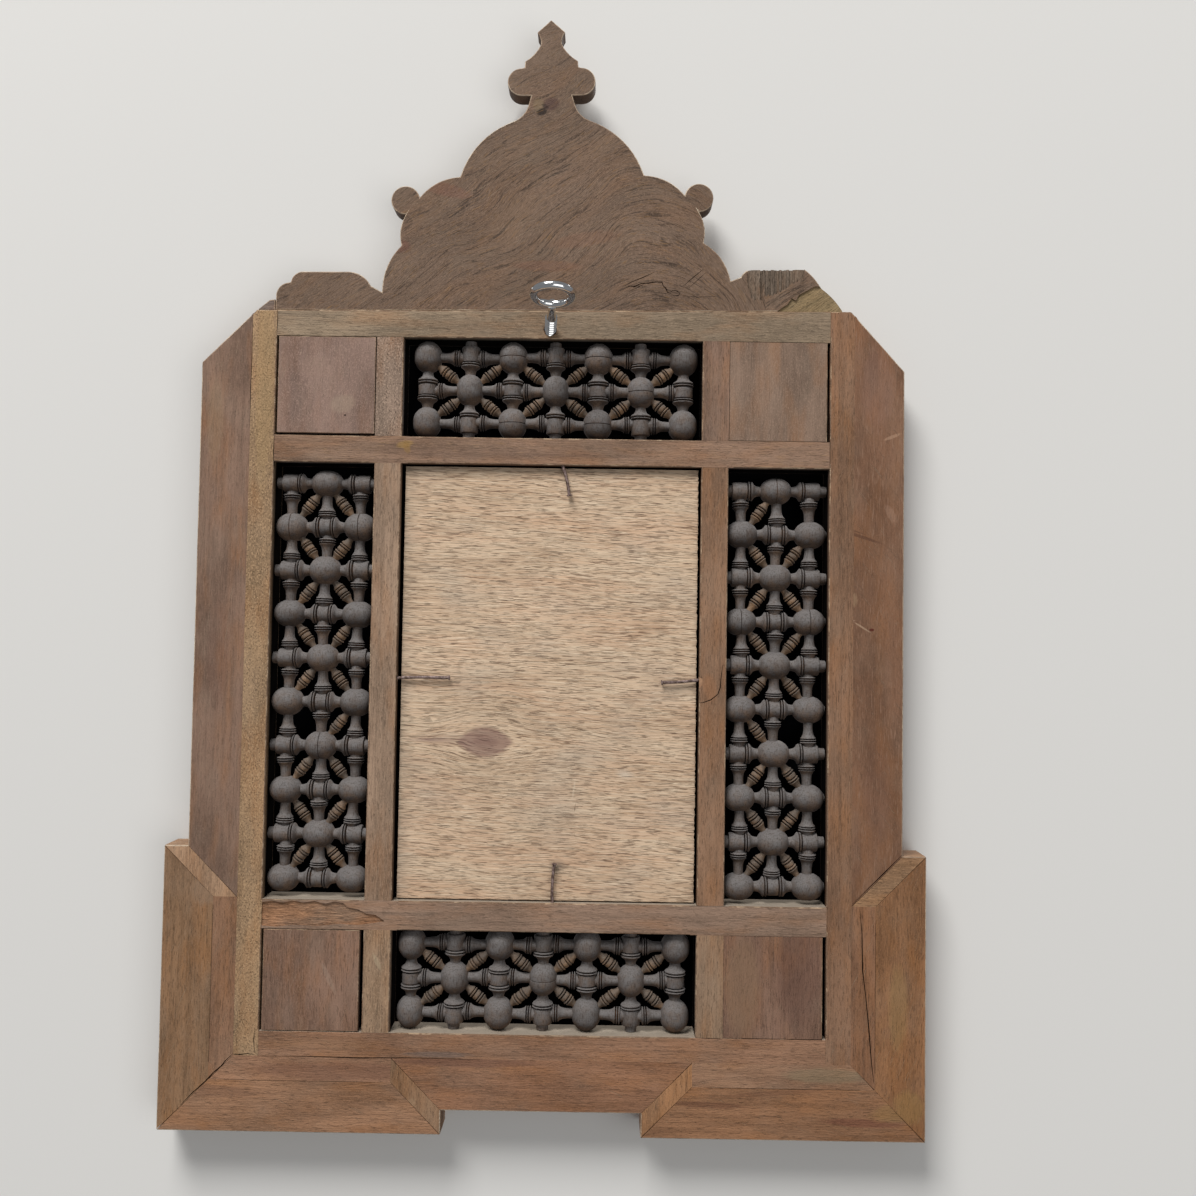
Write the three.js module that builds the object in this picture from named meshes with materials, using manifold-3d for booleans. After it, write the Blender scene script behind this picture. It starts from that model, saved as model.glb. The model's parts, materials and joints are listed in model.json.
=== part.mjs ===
// Mashrabiya wall frame: an eared, mitred frame that hangs by a screw eye in its back, with four
// panels of turned lattice round a boarded opening and a fretted crest on top.
// Millimetres. X runs to the right as seen from the back, Y from the back to the front, Z up.
// The frame is drawn with y = 0 on its back face, x = 0 on its centre line and z = 0 under its
// feet, then moved so that the centre of the eye's ring is the origin.
import * as THREE from 'three';
import * as BufferGeometryUtils from 'three/addons/utils/BufferGeometryUtils.js';
import Module from 'manifold-3d';

const wasm = await Module();
wasm.setup();

// Driving dimensions: inner frame.
const openingWidth = 130;
const openingHeight = 187.7;
const cellWidth = 43.6; // side lattices and corner panels
const lowerCellHeight = 43.1;
const upperCellHeight = 43.4;
const muntinWidth = 11.7;
const stileWidth = 10.7;
const railHeights = { bottom: 10.5, lower: 12.4, upper: 11.7, top: 12.5 };
const railSlope = 0.01; // the top edge rises to the right
const frameDepth = 15;

// Driving dimensions: outer moulding, its ears and feet.
const mouldingWidth = 21.4;
const mouldingDepth = 18;
const step = 10.2; // how far the ears stand out and the notch between the feet rises
const earTop = 119.6;
const notchWidth = 85;
const chamferFoot = 328.1; // where the cut top corner meets the outer edge
const chamferInset = 1.7; // how much of the stile's top the same cut takes
const mitreGap = 0.21; // left off each board's ends, so 0.3 across the joint

// Driving dimensions: boards that fill the openings.
const boardThickness = 5;
const boardRecess = 3.2;
const lipWidth = 3; // the ledge that the backing board lies on
const panelThickness = 15;

// Driving dimensions: crest.
const crestDepth = 9;
const crestSetBack = 0.8;
const crestTilt = THREE.MathUtils.degToRad(1.25);
const crestOffset = -0.5;
const restGap = 0.2; // under the crest

// Driving dimensions: turned lattice.
const latticeDepth = 7.8; // from the back face to the rods' axes
const ballRadius = 6.1;
const ballHalfLength = 6.7;
const ballBand = 2.2; // half the length of the ball's full width
const neckRadius = 2.2;
const collarRadius = 3.6;
const barrelRadius = 4.2;
const barrelHalf = 5.6;
const rodEndRadius = 1.8;
const beadRadius = 2.7;
const rodSides = 6;
const pegSides = 4;
const slantSides = 3;
const nailSides = 5;

// Driving dimensions: screw eye and nails.
const eye = { x: -1.35, z: 344.6, reach: 30.8, ring: 8.06, wire: 1.79, neck: 1.6, thread: 2.6 };
const eyeLean = THREE.MathUtils.degToRad(11.5);
const eyeTurn = THREE.MathUtils.degToRad(4.1);
const eyeBite = 8;
const threadLength = 13;
const nail = { radius: 0.75, head: 1.25, headThickness: 0.6, bite: 6, depth: 1.9, rise: 0.035 };
const holePlay = 0.3;

// Levels and distances from the centre line that follow from them.
const bottomRailFoot = mouldingWidth + step;
const lowerCellFoot = bottomRailFoot + railHeights.bottom;
const lowerRailFoot = lowerCellFoot + lowerCellHeight;
const openingFoot = lowerRailFoot + railHeights.lower;
const upperRailFoot = openingFoot + openingHeight;
const upperCellFoot = upperRailFoot + railHeights.upper;
const topRailFoot = upperCellFoot + upperCellHeight;
const halfOpening = openingWidth / 2;
const cellInner = halfOpening + muntinWidth;
const cellOuter = cellInner + cellWidth;
const stileOuter = cellOuter + stileWidth;
const sideOuter = stileOuter + mouldingWidth;
const earOuter = sideOuter + step;
const earInner = earOuter - mouldingWidth;
const notchHalf = notchWidth / 2;
const returnInner = notchHalf + mouldingWidth;
const topAt = (x) => topRailFoot + railHeights.top + railSlope * x;

// Direction of the screw eye, from the wood out to its ring, and the ring's centre.
const eyeAxis = new THREE.Vector3(
  Math.sin(eyeTurn),
  -Math.cos(eyeLean) * Math.cos(eyeTurn),
  Math.sin(eyeLean) * Math.cos(eyeTurn),
);
const eyeFoot = new THREE.Vector3(eye.x, 0, eye.z);
const ringCentre = eyeFoot.clone().addScaledVector(eyeAxis, eye.reach);

const finishes = {
  moulding: { color: 0x7f6049, roughness: 0.6, metalness: 0 },
  strip: { color: 0x87694f, roughness: 0.7, metalness: 0 },
  panel: { color: 0x7b6254, roughness: 0.65, metalness: 0 },
  crest: { color: 0x746153, roughness: 0.6, metalness: 0 },
  lattice: { color: 0x5f534b, roughness: 0.65, metalness: 0 },
  plywood: { color: 0xb99e85, roughness: 0.75, metalness: 0 },
  rustyNail: { color: 0x4c392f, roughness: 0.7, metalness: 0.6 },
  chrome: { color: 0xc8c9cb, roughness: 0.12, metalness: 1 },
};

const part = new THREE.Group();
const frame = new THREE.Group();
frame.position.copy(ringCentre).negate();
part.add(frame);

function addPiece(name, geometry, finish, parent = frame) {
  const mesh = new THREE.Mesh(geometry, new THREE.MeshStandardMaterial(finishes[finish]));
  mesh.name = name;
  parent.add(mesh);
  return mesh;
}

// Welds a geometry's vertices and drops the empty triangles at a lathe's poles.
function welded(geometry) {
  const bare = geometry.clone();
  bare.deleteAttribute('normal');
  bare.deleteAttribute('uv');
  const merged = BufferGeometryUtils.mergeVertices(bare, 1e-4);
  const kept = [];
  for (let i = 0; i < merged.index.count; i += 3) {
    const [a, b, c] = [0, 1, 2].map((k) => merged.index.getX(i + k));
    if (a !== b && b !== c && c !== a) kept.push(a, b, c);
  }
  merged.setIndex(kept);
  return merged;
}

// Turns every triangle round when a mirrored shape has come out inside out.
function facingOut(geometry) {
  const { position } = geometry.attributes;
  const order = geometry.index.array;
  const [a, b, c] = [new THREE.Vector3(), new THREE.Vector3(), new THREE.Vector3()];
  let volume = 0;
  for (let i = 0; i < order.length; i += 3) {
    [a, b, c].forEach((corner, k) => corner.fromBufferAttribute(position, order[i + k]));
    volume += a.dot(b.cross(c));
  }
  if (volume < 0) {
    for (let i = 0; i < order.length; i += 3) [order[i], order[i + 1]] = [order[i + 1], order[i]];
  }
  return geometry;
}

function toSolid(geometry) {
  const { attributes, index } = facingOut(welded(geometry));
  const vertProperties = Float32Array.from(attributes.position.array);
  const triVerts = Uint32Array.from(index.array);
  return new wasm.Manifold(new wasm.Mesh({ numProp: 3, vertProperties, triVerts }));
}

function toGeometry(solid) {
  const mesh = solid.getMesh();
  const geometry = new THREE.BufferGeometry();
  geometry.setAttribute('position', new THREE.BufferAttribute(mesh.vertProperties, 3));
  geometry.setIndex(new THREE.BufferAttribute(mesh.triVerts, 1));
  return geometry;
}

const joined = (geometries) => toGeometry(geometries.map(toSolid).reduce((a, b) => a.add(b)));
const without = (geometry, tool) => toGeometry(toSolid(geometry).subtract(toSolid(tool)));

function turned(profile, sides) {
  return new THREE.LatheGeometry(profile.map(([r, along]) => new THREE.Vector2(r, along)), sides);
}

// Lays a geometry made along +Y on the line that leaves `start` in the given direction.
function laidAlong(geometry, start, direction) {
  const turn = new THREE.Quaternion().setFromUnitVectors(new THREE.Vector3(0, 1, 0), direction);
  return geometry.applyQuaternion(turn).translate(start.x, start.y, start.z);
}

// A hole from `start`, a point on a face, a given depth into the wood; it begins clear of the face.
function drill(start, inward, radius, depth) {
  const clear = 2;
  const bit = new THREE.CylinderGeometry(radius, radius, depth + clear, 8);
  bit.translate(0, (depth + clear) / 2, 0);
  return laidAlong(bit, start.clone().addScaledVector(inward, -clear), inward);
}

// A straight board between two long edges, each given as [start, end] points in the XZ plane.
// The section's points are [across, depth], with across 0 on the outer edge and 1 on the inner.
function board(outer, inner, section, gaps = [0, 0]) {
  const edges = [outer, inner].map((edge) => {
    const [start, end] = edge.map(([x, z]) => new THREE.Vector2(x, z));
    const run = end.clone().sub(start).normalize();
    return [start.addScaledVector(run, gaps[0]), end.addScaledVector(run, -gaps[1])];
  });
  const shape = new THREE.Shape(section.map(([across, depth]) => new THREE.Vector2(across, depth)));
  const geometry = new THREE.ExtrudeGeometry(shape, { depth: 1, bevelEnabled: false });
  const { position } = geometry.attributes;
  for (let i = 0; i < position.count; i += 1) {
    const [across, depth, along] = [position.getX(i), position.getY(i), position.getZ(i)];
    const [onOuter, onInner] = edges.map(([start, end]) => start.clone().lerp(end, along));
    const point = onOuter.lerp(onInner, across);
    position.setXYZ(i, point.x, depth, point.y);
  }
  return facingOut(welded(geometry));
}

const flatSection = (depth) => [[0, 0], [1, 0], [1, depth], [0, depth]];

// The outer moulding: flat back, low inner fillet, a hollow and a round up to a flat, eased edge.
const across = (fromOuter) => fromOuter / mouldingWidth;
const mouldingSection = [
  [0, 0],
  [1, 0],
  [1, frameDepth],
  [across(19.2), frameDepth],
  [across(17.8), frameDepth + 1.1],
  [across(15.4), mouldingDepth - 0.4],
  [across(12.6), mouldingDepth],
  [across(1.6), mouldingDepth],
  [0, mouldingDepth - 1.6],
];

// An upright block with its edges square to the axes.
function block(x0, x1, z0, z1, y0, y1) {
  return board([[x0, z0], [x0, z1]], [[x1, z0], [x1, z1]], [[0, y0], [1, y0], [1, y1], [0, y1]]);
}

function addOuterMoulding(side, word) {
  const at = (x, z) => [side * x, z];
  const cutCorner = (x) => THREE.MathUtils.mapLinear(
    x,
    stileOuter - chamferInset,
    sideOuter,
    topAt(side * (stileOuter - chamferInset)),
    chamferFoot,
  );
  const pieces = {
    side_moulding: [
      [at(sideOuter, earTop), at(sideOuter, chamferFoot)],
      [at(stileOuter, earTop - mouldingWidth), at(stileOuter, cutCorner(stileOuter))],
      [mitreGap, 0],
    ],
    ear_return: [
      [at(sideOuter, earTop), at(earOuter, earTop)],
      [at(stileOuter, earTop - mouldingWidth), at(earInner, earTop - mouldingWidth)],
      [mitreGap, mitreGap],
    ],
    ear_board: [
      [at(earOuter, earTop), at(earOuter, 0)],
      [at(earInner, earTop - mouldingWidth), at(earInner, mouldingWidth)],
      [mitreGap, mitreGap],
    ],
    foot_board: [
      [at(earOuter, 0), at(notchHalf, 0)],
      [at(earInner, mouldingWidth), at(returnInner, mouldingWidth)],
      [mitreGap, mitreGap],
    ],
    foot_return: [
      [at(notchHalf, 0), at(notchHalf, step)],
      [at(returnInner, mouldingWidth), at(returnInner, bottomRailFoot)],
      [mitreGap, mitreGap],
    ],
  };
  for (const [name, [outer, inner, gaps]] of Object.entries(pieces)) {
    addPiece(`${name}_${word}`, board(outer, inner, mouldingSection, gaps), 'moulding');
  }

  // Plain strips fill the steps between the moulding and the inner frame.
  const earStrip = board(
    [at(earInner, earTop - mouldingWidth), at(earInner, mouldingWidth)],
    [at(stileOuter, earTop - mouldingWidth), at(stileOuter, bottomRailFoot)],
    flatSection(frameDepth),
    [0, mitreGap],
  );
  addPiece(`ear_filler_${word}`, earStrip, 'moulding');
  const footStrip = board(
    [at(earInner, mouldingWidth), at(returnInner, mouldingWidth)],
    [at(stileOuter, bottomRailFoot), at(returnInner, bottomRailFoot)],
    flatSection(frameDepth),
    [mitreGap, 0],
  );
  addPiece(`foot_filler_${word}`, footStrip, 'moulding');

  // The stile's top follows the rail's slope, then the cut corner.
  const stile = new THREE.Shape([
    new THREE.Vector2(...at(cellOuter, bottomRailFoot)),
    new THREE.Vector2(...at(stileOuter, bottomRailFoot)),
    new THREE.Vector2(...at(stileOuter, cutCorner(stileOuter))),
    new THREE.Vector2(...at(stileOuter - chamferInset, topAt(side * (stileOuter - chamferInset)))),
    new THREE.Vector2(...at(cellOuter, topAt(side * cellOuter))),
  ]);
  addPiece(`stile_${word}`, sawn(stile, 0, frameDepth), 'strip');
}

// A flat piece cut to an outline in the XZ plane.
function sawn(shape, y0, y1) {
  const geometry = new THREE.ExtrudeGeometry(shape, { depth: y1 - y0, bevelEnabled: false });
  geometry.rotateX(Math.PI / 2); // the outline's y becomes z, and its depth runs to -y
  geometry.translate(0, y1, 0);
  return facingOut(welded(geometry));
}

// The nails that hold the backing board: where each leaves the wood, and the way its head points.
const nailLevel = openingFoot + 0.505 * openingHeight;
const nails = {
  left: { foot: [-halfOpening, nailLevel], out: [1, 0], length: 22.6 },
  right: { foot: [halfOpening, nailLevel + 1.5], out: [-1, -0.09], length: 16.4 },
  top: { foot: [4.8, upperRailFoot], out: [0.26, -1], length: 16.2 },
  bottom: { foot: [3.4, openingFoot], out: [0.05, 1], length: 17 },
};
for (const one of Object.values(nails)) {
  one.start = new THREE.Vector3(one.foot[0], nail.depth, one.foot[1]);
  one.axis = new THREE.Vector3(one.out[0], -nail.rise, one.out[1]).normalize();
}
const nailHole = ({ start, axis }) => (
  drill(start, axis.clone().negate(), nail.radius + holePlay, nail.bite + 1)
);

function addNails() {
  for (const [word, { start, axis, length }] of Object.entries(nails)) {
    const whole = nail.bite + length;
    const profile = [
      [0, 0],
      [nail.radius, 2],
      [nail.radius, whole - nail.headThickness],
      [nail.head, whole - nail.headThickness],
      [nail.head, whole],
      [0, whole],
    ];
    const mesh = addPiece(`nail_${word}`, welded(turned(profile, nailSides)), 'rustyNail');
    mesh.position.copy(start).addScaledVector(axis, -nail.bite);
    mesh.quaternion.setFromUnitVectors(new THREE.Vector3(0, 1, 0), axis);
  }
}

function addRailsAndMuntins() {
  const lipFront = boardRecess + boardThickness + 0.2;
  const lipReach = 1; // how far a lip's block runs into its rail, so that the two join
  const plainRail = (z0, z1) => block(-cellOuter, cellOuter, z0, z1, 0, frameDepth);
  const lip = (x0, x1, z0, z1) => block(x0, x1, z0, z1, lipFront, frameDepth);

  addPiece('rail_bottom', plainRail(bottomRailFoot, lowerCellFoot), 'strip');
  const lowerRail = joined([
    plainRail(lowerRailFoot, openingFoot),
    lip(-halfOpening + lipWidth, halfOpening - lipWidth, openingFoot - lipReach, openingFoot + lipWidth),
  ]);
  addPiece('rail_lower', without(lowerRail, nailHole(nails.bottom)), 'strip');
  const upperRail = joined([
    plainRail(upperRailFoot, upperCellFoot),
    lip(-halfOpening + lipWidth, halfOpening - lipWidth, upperRailFoot - lipWidth, upperRailFoot + lipReach),
  ]);
  addPiece('rail_upper', without(upperRail, nailHole(nails.top)), 'strip');

  const topRail = board(
    [[-cellOuter, topAt(-cellOuter)], [cellOuter, topAt(cellOuter)]],
    [[-cellOuter, topRailFoot], [cellOuter, topRailFoot]],
    flatSection(frameDepth),
  );
  const eyeHole = drill(eyeFoot, eyeAxis.clone().negate(), eye.thread + holePlay, eyeBite + 1);
  addPiece('rail_top', without(topRail, eyeHole), 'strip');

  for (const [side, word] of [[-1, 'left'], [1, 'right']]) {
    const muntin = (z0, z1) => block(side * halfOpening, side * cellInner, z0, z1, 0, frameDepth);
    addPiece(`muntin_top_${word}`, muntin(upperCellFoot, topRailFoot), 'strip');
    addPiece(`muntin_bottom_${word}`, muntin(lowerCellFoot, lowerRailFoot), 'strip');
    const lipped = joined([
      muntin(openingFoot, upperRailFoot),
      lip(side * (halfOpening - lipWidth), side * (halfOpening + lipReach), openingFoot, upperRailFoot),
    ]);
    addPiece(`muntin_middle_${word}`, without(lipped, nailHole(nails[word])), 'strip');
  }
}

// Loose panels in the corners, each with its own gaps to the cell's left side, right side and foot.
function addPanels() {
  const cells = {
    top_left: { x: -cellOuter, z: upperCellFoot, height: upperCellHeight, gaps: [0.9, 0.3, 0.9] },
    top_right: { x: cellInner, z: upperCellFoot, height: upperCellHeight, gaps: [0.2, 1.2, 0.2] },
    bottom_left: { x: -cellOuter, z: lowerCellFoot, height: lowerCellHeight, gaps: [0.9, 1.5, 0.2] },
    bottom_right: { x: cellInner, z: lowerCellFoot, height: lowerCellHeight, gaps: [0.1, 1.5, 0.2] },
  };
  for (const [word, { x, z, height, gaps: [left, right, foot] }] of Object.entries(cells)) {
    const panel = block(x + left, x + cellWidth - right, z + foot, z + height - 0.2, 0, panelThickness);
    addPiece(`corner_panel_${word}`, panel, 'panel');
  }
  const backing = block(
    -halfOpening + 1.5,
    halfOpening - 0.8,
    openingFoot + 0.5,
    upperRailFoot - 0.8,
    boardRecess,
    boardRecess + boardThickness,
  );
  addPiece('backing_board', backing, 'plywood');
}

// A lattice of rods along Z, every rod with three nodes that alternate ball and barrel, joined by
// pegs across and by slanting pegs from ball to ball. `missing` lists slanting pegs that are lost,
// as the gap between rods, counted from 0, and the half of it, -1 or 1 along Z. `nodeShift` moves
// the nodes along their rods, whose ends stay in the opening.
function lattice({
  rodCount, firstIsBall, opening, rodPitch, nodePitch, nodeShift, missing,
}) {
  const rows = [-1, 0, 1];
  const rowZ = (row) => row * nodePitch + nodeShift;
  const isBall = (rod, row) => ((rod + row) % 2 === 0) !== firstIsBall;
  const rodX = (rod) => (rod - (rodCount - 1) / 2) * rodPitch;
  const rodEnd = opening / 2 - 0.1;
  const pieces = [];

  // Moves a geometry made along +Y to (x, z), pointing `angle` away from +Z towards +X.
  const laid = (geometry, x, z, angle) => geometry.rotateZ(-angle).rotateX(Math.PI / 2)
    .translate(x, 0, z);
  for (let rod = 0; rod < rodCount; rod += 1) {
    const profile = [[0, -rodEnd]];
    for (const row of rows) {
      const z = rowZ(row);
      if (isBall(rod, row)) {
        profile.push(row < 0 ? [rodEndRadius, -rodEnd] : [neckRadius, z - ballHalfLength]);
        profile.push([ballRadius, z - ballBand], [ballRadius, z + ballBand]);
        profile.push(row > 0 ? [rodEndRadius, rodEnd] : [neckRadius, z + ballHalfLength]);
      } else {
        profile.push([barrelRadius, row < 0 ? -rodEnd : z - barrelHalf]);
        profile.push([barrelRadius, row > 0 ? rodEnd : z + barrelHalf]);
      }
    }
    profile.push([0, rodEnd]);
    pieces.push(laid(turned(profile, rodSides), rodX(rod), 0, 0));
  }

  // A peg leaves a ball as a neck and ends in a disc that meets the next rod's barrel.
  const pegProfile = [
    [0, ballRadius - 1.6],
    [neckRadius, ballRadius - 1.6],
    [neckRadius, 0.6 * rodPitch],
    [collarRadius, rodPitch - barrelRadius - 0.2],
    [0, rodPitch - barrelRadius + 1],
  ];
  // A slanting peg swells to a bead half way, between the middles of its two balls.
  const reach = Math.hypot(rodPitch, nodePitch);
  const slantProfile = [[0, 0.5], [beadRadius, reach / 2], [0, reach - 0.5]];
  for (let rod = 0; rod < rodCount - 1; rod += 1) {
    for (const row of rows) {
      const fromLeft = isBall(rod, row);
      const x = rodX(fromLeft ? rod : rod + 1);
      const towards = fromLeft ? Math.PI / 2 : -Math.PI / 2;
      pieces.push(laid(turned(pegProfile, pegSides), x, rowZ(row), towards));
    }
    for (const half of [-1, 1]) {
      const lost = missing.some(([gap, side]) => gap === rod && side === half);
      if (!lost) {
        const row = isBall(rod, half) ? half : 0;
        const rise = row === 0 ? half : -half;
        const angle = Math.atan2(rodPitch, rise * nodePitch);
        pieces.push(laid(turned(slantProfile, slantSides), rodX(rod), rowZ(row), angle));
      }
    }
  }
  return joined(pieces);
}

function addLattices() {
  const upright = { rodCount: 7, firstIsBall: true, nodePitch: 14.6, missing: [] };
  const lying = {
    rodCount: 10, firstIsBall: false, opening: cellWidth, rodPitch: 19.05, nodePitch: 14.9,
  };
  const middle = openingFoot + openingHeight / 2;
  const column = cellInner + cellWidth / 2;
  const upperMiddle = upperCellFoot + upperCellHeight / 2;
  const lowerMiddle = lowerCellFoot + lowerCellHeight / 2;
  const place = (name, work, x, z, quarterTurn) => {
    const mesh = addPiece(`lattice_${name}`, lattice(work), 'lattice');
    mesh.position.set(x, latticeDepth, z);
    mesh.rotation.y = quarterTurn;
  };
  place('top', {
    ...upright, opening: upperCellHeight, rodPitch: 18.75, nodeShift: 0.2,
  }, 0.9, upperMiddle, 0);
  place('bottom', {
    ...upright, opening: lowerCellHeight, rodPitch: 18.95, nodeShift: -0.1,
  }, -0.3, lowerMiddle, 0);
  // The side lattices are the same work turned a quarter, so that rod 0 is the top one. They hang
  // a little low in their openings, as the upper and lower ones sit a little to one side.
  place('left', { ...lying, nodeShift: 0, missing: [[5, -1]] }, -column, middle - 0.5, Math.PI / 2);
  place('right', {
    ...lying, nodeShift: -0.3, missing: [[0, 1], [5, 1]],
  }, column, middle - 1, Math.PI / 2);
}

// Adds a curve to (x, z) that stands `bulge` outside the chord, hollow when it is negative. The
// outline is drawn from the right wing up to the apex, so outside is to the right of the chord.
function sweepTo(path, x, z, bulge) {
  if (bulge === 0) {
    path.lineTo(x, z);
    return;
  }
  const from = path.currentPoint;
  const chord = new THREE.Vector2(x - from.x, z - from.y);
  const normal = new THREE.Vector2(chord.y, -chord.x).normalize().multiplyScalar(2 * bulge);
  path.quadraticCurveTo((from.x + x) / 2 + normal.x, (from.y + z) / 2 + normal.y, x, z);
}

// One half of the crest's fretted outline, from its wing up to the apex. The stretches above the
// wing are shared; the wings were cut by hand and differ.
function crestHalf(side) {
  const wings = {
    1: [[126.3, -0.9, 0], [116.9, 9.7, 0], [109.6, 18.2, 0], [87.5, 18.2, 0], [82, 14.7, 1], [77.6, 13, 0]],
    '-1': [[120.8, 2, 0], [120.8, 9, 0], [114.4, 14.1, 1.6], [110, 18.8, 1], [89, 18.6, 0], [79.4, 12.2, 1.6],
      [74.5, 9.4, 0]],
  };
  const path = new THREE.Path();
  const [start, ...wing] = wings[side];
  path.moveTo(start[0], start[1]);
  const sweep = (x, z, bulge) => sweepTo(path, x, z, bulge);
  wing.forEach(([x, z, bulge]) => sweep(x, z, bulge));
  sweep(66, 30, 2.3); // lowest scallop
  sweep(64.1, 43.8, 1.4);
  path.absarc(64.2, 50, 6.3, -Math.PI / 2, 0.94 * Math.PI, false); // round ear of the shoulder
  sweep(40.3, 60.2, 2.2); // upper scallop
  sweep(16.2, 85, 4.2); // dome
  sweep(10.4, 91.4, -0.9); // hollow neck of the finial
  path.lineTo(9, 96.1);
  path.absarc(13.1, 102.3, 6.2, -Math.PI / 2, Math.PI / 2, false); // the finial's round arm
  path.lineTo(11.8, 108.8);
  path.lineTo(11.6, 111.6);
  sweep(4.5, 119.3, -0.8);
  sweep(6.2, 124.4, -0.5);
  path.lineTo(0, 130);
  return path.getPoints(4).map(({ x, y }) => new THREE.Vector2(side * x, y));
}

function addCrest() {
  const crest = new THREE.Group();
  crest.position.set(crestOffset, 0, topAt(0) - 0.4);
  crest.rotation.y = -crestTilt; // the right wing is the higher
  frame.add(crest);
  // The foot follows the sloping rail, as seen in the crest's own tilted axes.
  const footSlope = Math.tan(Math.atan(railSlope) - crestTilt);
  const footAt = (x) => 0.4 + restGap + footSlope * x;
  const seated = (points) => points.map(({ x, y }) => new THREE.Vector2(x, Math.max(y, footAt(x))));
  const right = crestHalf(1);
  const left = crestHalf(-1).reverse().slice(1);
  const outline = seated([...right, ...left]);
  outline[0].y = footAt(outline[0].x);
  outline.at(-1).y = footAt(outline.at(-1).x);
  const plate = sawn(new THREE.Shape(outline), crestSetBack, crestSetBack + crestDepth);
  addPiece('crest', plate, 'crest', crest);

  // A separate triangular end closes the left wing over the stile.
  const tipStart = outline.at(-1).x - mitreGap;
  const tip = new THREE.Shape([
    new THREE.Vector2(tipStart, footAt(tipStart)),
    new THREE.Vector2(tipStart, 6.7),
    new THREE.Vector2(tipStart - 2.6, 6.4),
    new THREE.Vector2(-128.4, footAt(-128.4) + 0.3),
    new THREE.Vector2(-128.4, footAt(-128.4)),
  ]);
  addPiece('crest_tip_left', sawn(tip, crestSetBack, crestSetBack + crestDepth), 'crest', crest);
}

// The screw eye is made with its ring round the origin and its shank down -Z.
function addEye() {
  const ring = new THREE.TorusGeometry(eye.ring, eye.wire, 6, 14).rotateX(Math.PI / 2);
  const threadTop = eye.reach - threadLength;
  const shank = turned([
    [0, -eye.reach - eyeBite],
    [0.4 * eye.thread, -eye.reach - eyeBite],
    [eye.thread, -eye.reach - eyeBite + 3],
    [eye.thread, -threadTop - 1],
    [eye.neck, -threadTop + 0.5],
    [eye.neck, -eye.ring - eye.wire],
    [1.15 * eye.neck, -eye.ring],
    [0, -eye.ring],
  ], rodSides).rotateX(Math.PI / 2);
  const screw = addPiece('hanging_eye', joined([ring, shank]), 'chrome', part);
  screw.rotation.set(Math.PI / 2 - eyeLean, eyeTurn, 0);
}

addOuterMoulding(-1, 'left');
addOuterMoulding(1, 'right');
const centreBoard = board(
  [[-notchHalf, step], [notchHalf, step]],
  [[-returnInner, bottomRailFoot], [returnInner, bottomRailFoot]],
  mouldingSection,
  [mitreGap, mitreGap],
);
addPiece('centre_board', centreBoard, 'moulding');
addRailsAndMuntins();
addPanels();
addNails();
addLattices();
addCrest();
addEye();

export default part;
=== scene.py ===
import json
import math
import random

import bpy
from mathutils import Euler, Matrix, Vector
from mathutils.bvhtree import BVHTree

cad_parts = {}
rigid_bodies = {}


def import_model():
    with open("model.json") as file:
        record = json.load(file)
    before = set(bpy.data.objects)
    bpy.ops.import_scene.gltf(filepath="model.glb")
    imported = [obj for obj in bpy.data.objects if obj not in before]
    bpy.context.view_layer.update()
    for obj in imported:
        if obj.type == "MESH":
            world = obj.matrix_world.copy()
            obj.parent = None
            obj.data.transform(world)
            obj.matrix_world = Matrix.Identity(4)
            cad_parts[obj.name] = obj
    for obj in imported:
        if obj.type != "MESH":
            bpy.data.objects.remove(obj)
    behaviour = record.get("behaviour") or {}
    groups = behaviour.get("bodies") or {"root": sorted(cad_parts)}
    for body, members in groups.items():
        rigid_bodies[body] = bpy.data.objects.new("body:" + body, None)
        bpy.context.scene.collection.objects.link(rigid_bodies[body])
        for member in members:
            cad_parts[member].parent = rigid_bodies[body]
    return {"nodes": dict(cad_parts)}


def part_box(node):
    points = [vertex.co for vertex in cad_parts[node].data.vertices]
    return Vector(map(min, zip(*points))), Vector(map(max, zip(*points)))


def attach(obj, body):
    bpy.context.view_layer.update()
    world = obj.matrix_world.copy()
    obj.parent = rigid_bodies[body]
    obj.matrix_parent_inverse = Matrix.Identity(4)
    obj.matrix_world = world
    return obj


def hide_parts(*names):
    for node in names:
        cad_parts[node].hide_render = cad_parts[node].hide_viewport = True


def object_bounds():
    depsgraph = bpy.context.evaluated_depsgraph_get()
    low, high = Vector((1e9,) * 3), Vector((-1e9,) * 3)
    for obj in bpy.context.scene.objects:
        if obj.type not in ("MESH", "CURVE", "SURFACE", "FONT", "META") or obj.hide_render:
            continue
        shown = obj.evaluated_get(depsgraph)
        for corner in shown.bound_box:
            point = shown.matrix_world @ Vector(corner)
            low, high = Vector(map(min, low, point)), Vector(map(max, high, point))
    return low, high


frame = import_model()
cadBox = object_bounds()
mm = 0.001
backPlane = 30.1  # back faces of the frame boards, mm
print("frame loaded:", len(frame["nodes"]), "nodes")


# Small tools used all the way through.

def colour(hexCode, shade=1.0):
    # sRGB hex to linear, optionally darker or lighter
    values = [int(hexCode[i:i + 2], 16) / 255 for i in (1, 3, 5)]
    linear = [v / 12.92 if v <= 0.04045 else ((v + 0.055) / 1.055) ** 2.4 for v in values]
    return (*[min(1, v * shade) for v in linear], 1)


def newMaterial(name):
    material = bpy.data.materials.new(name)
    material.use_nodes = True
    material.node_tree.nodes.clear()
    return material, material.node_tree


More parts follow.
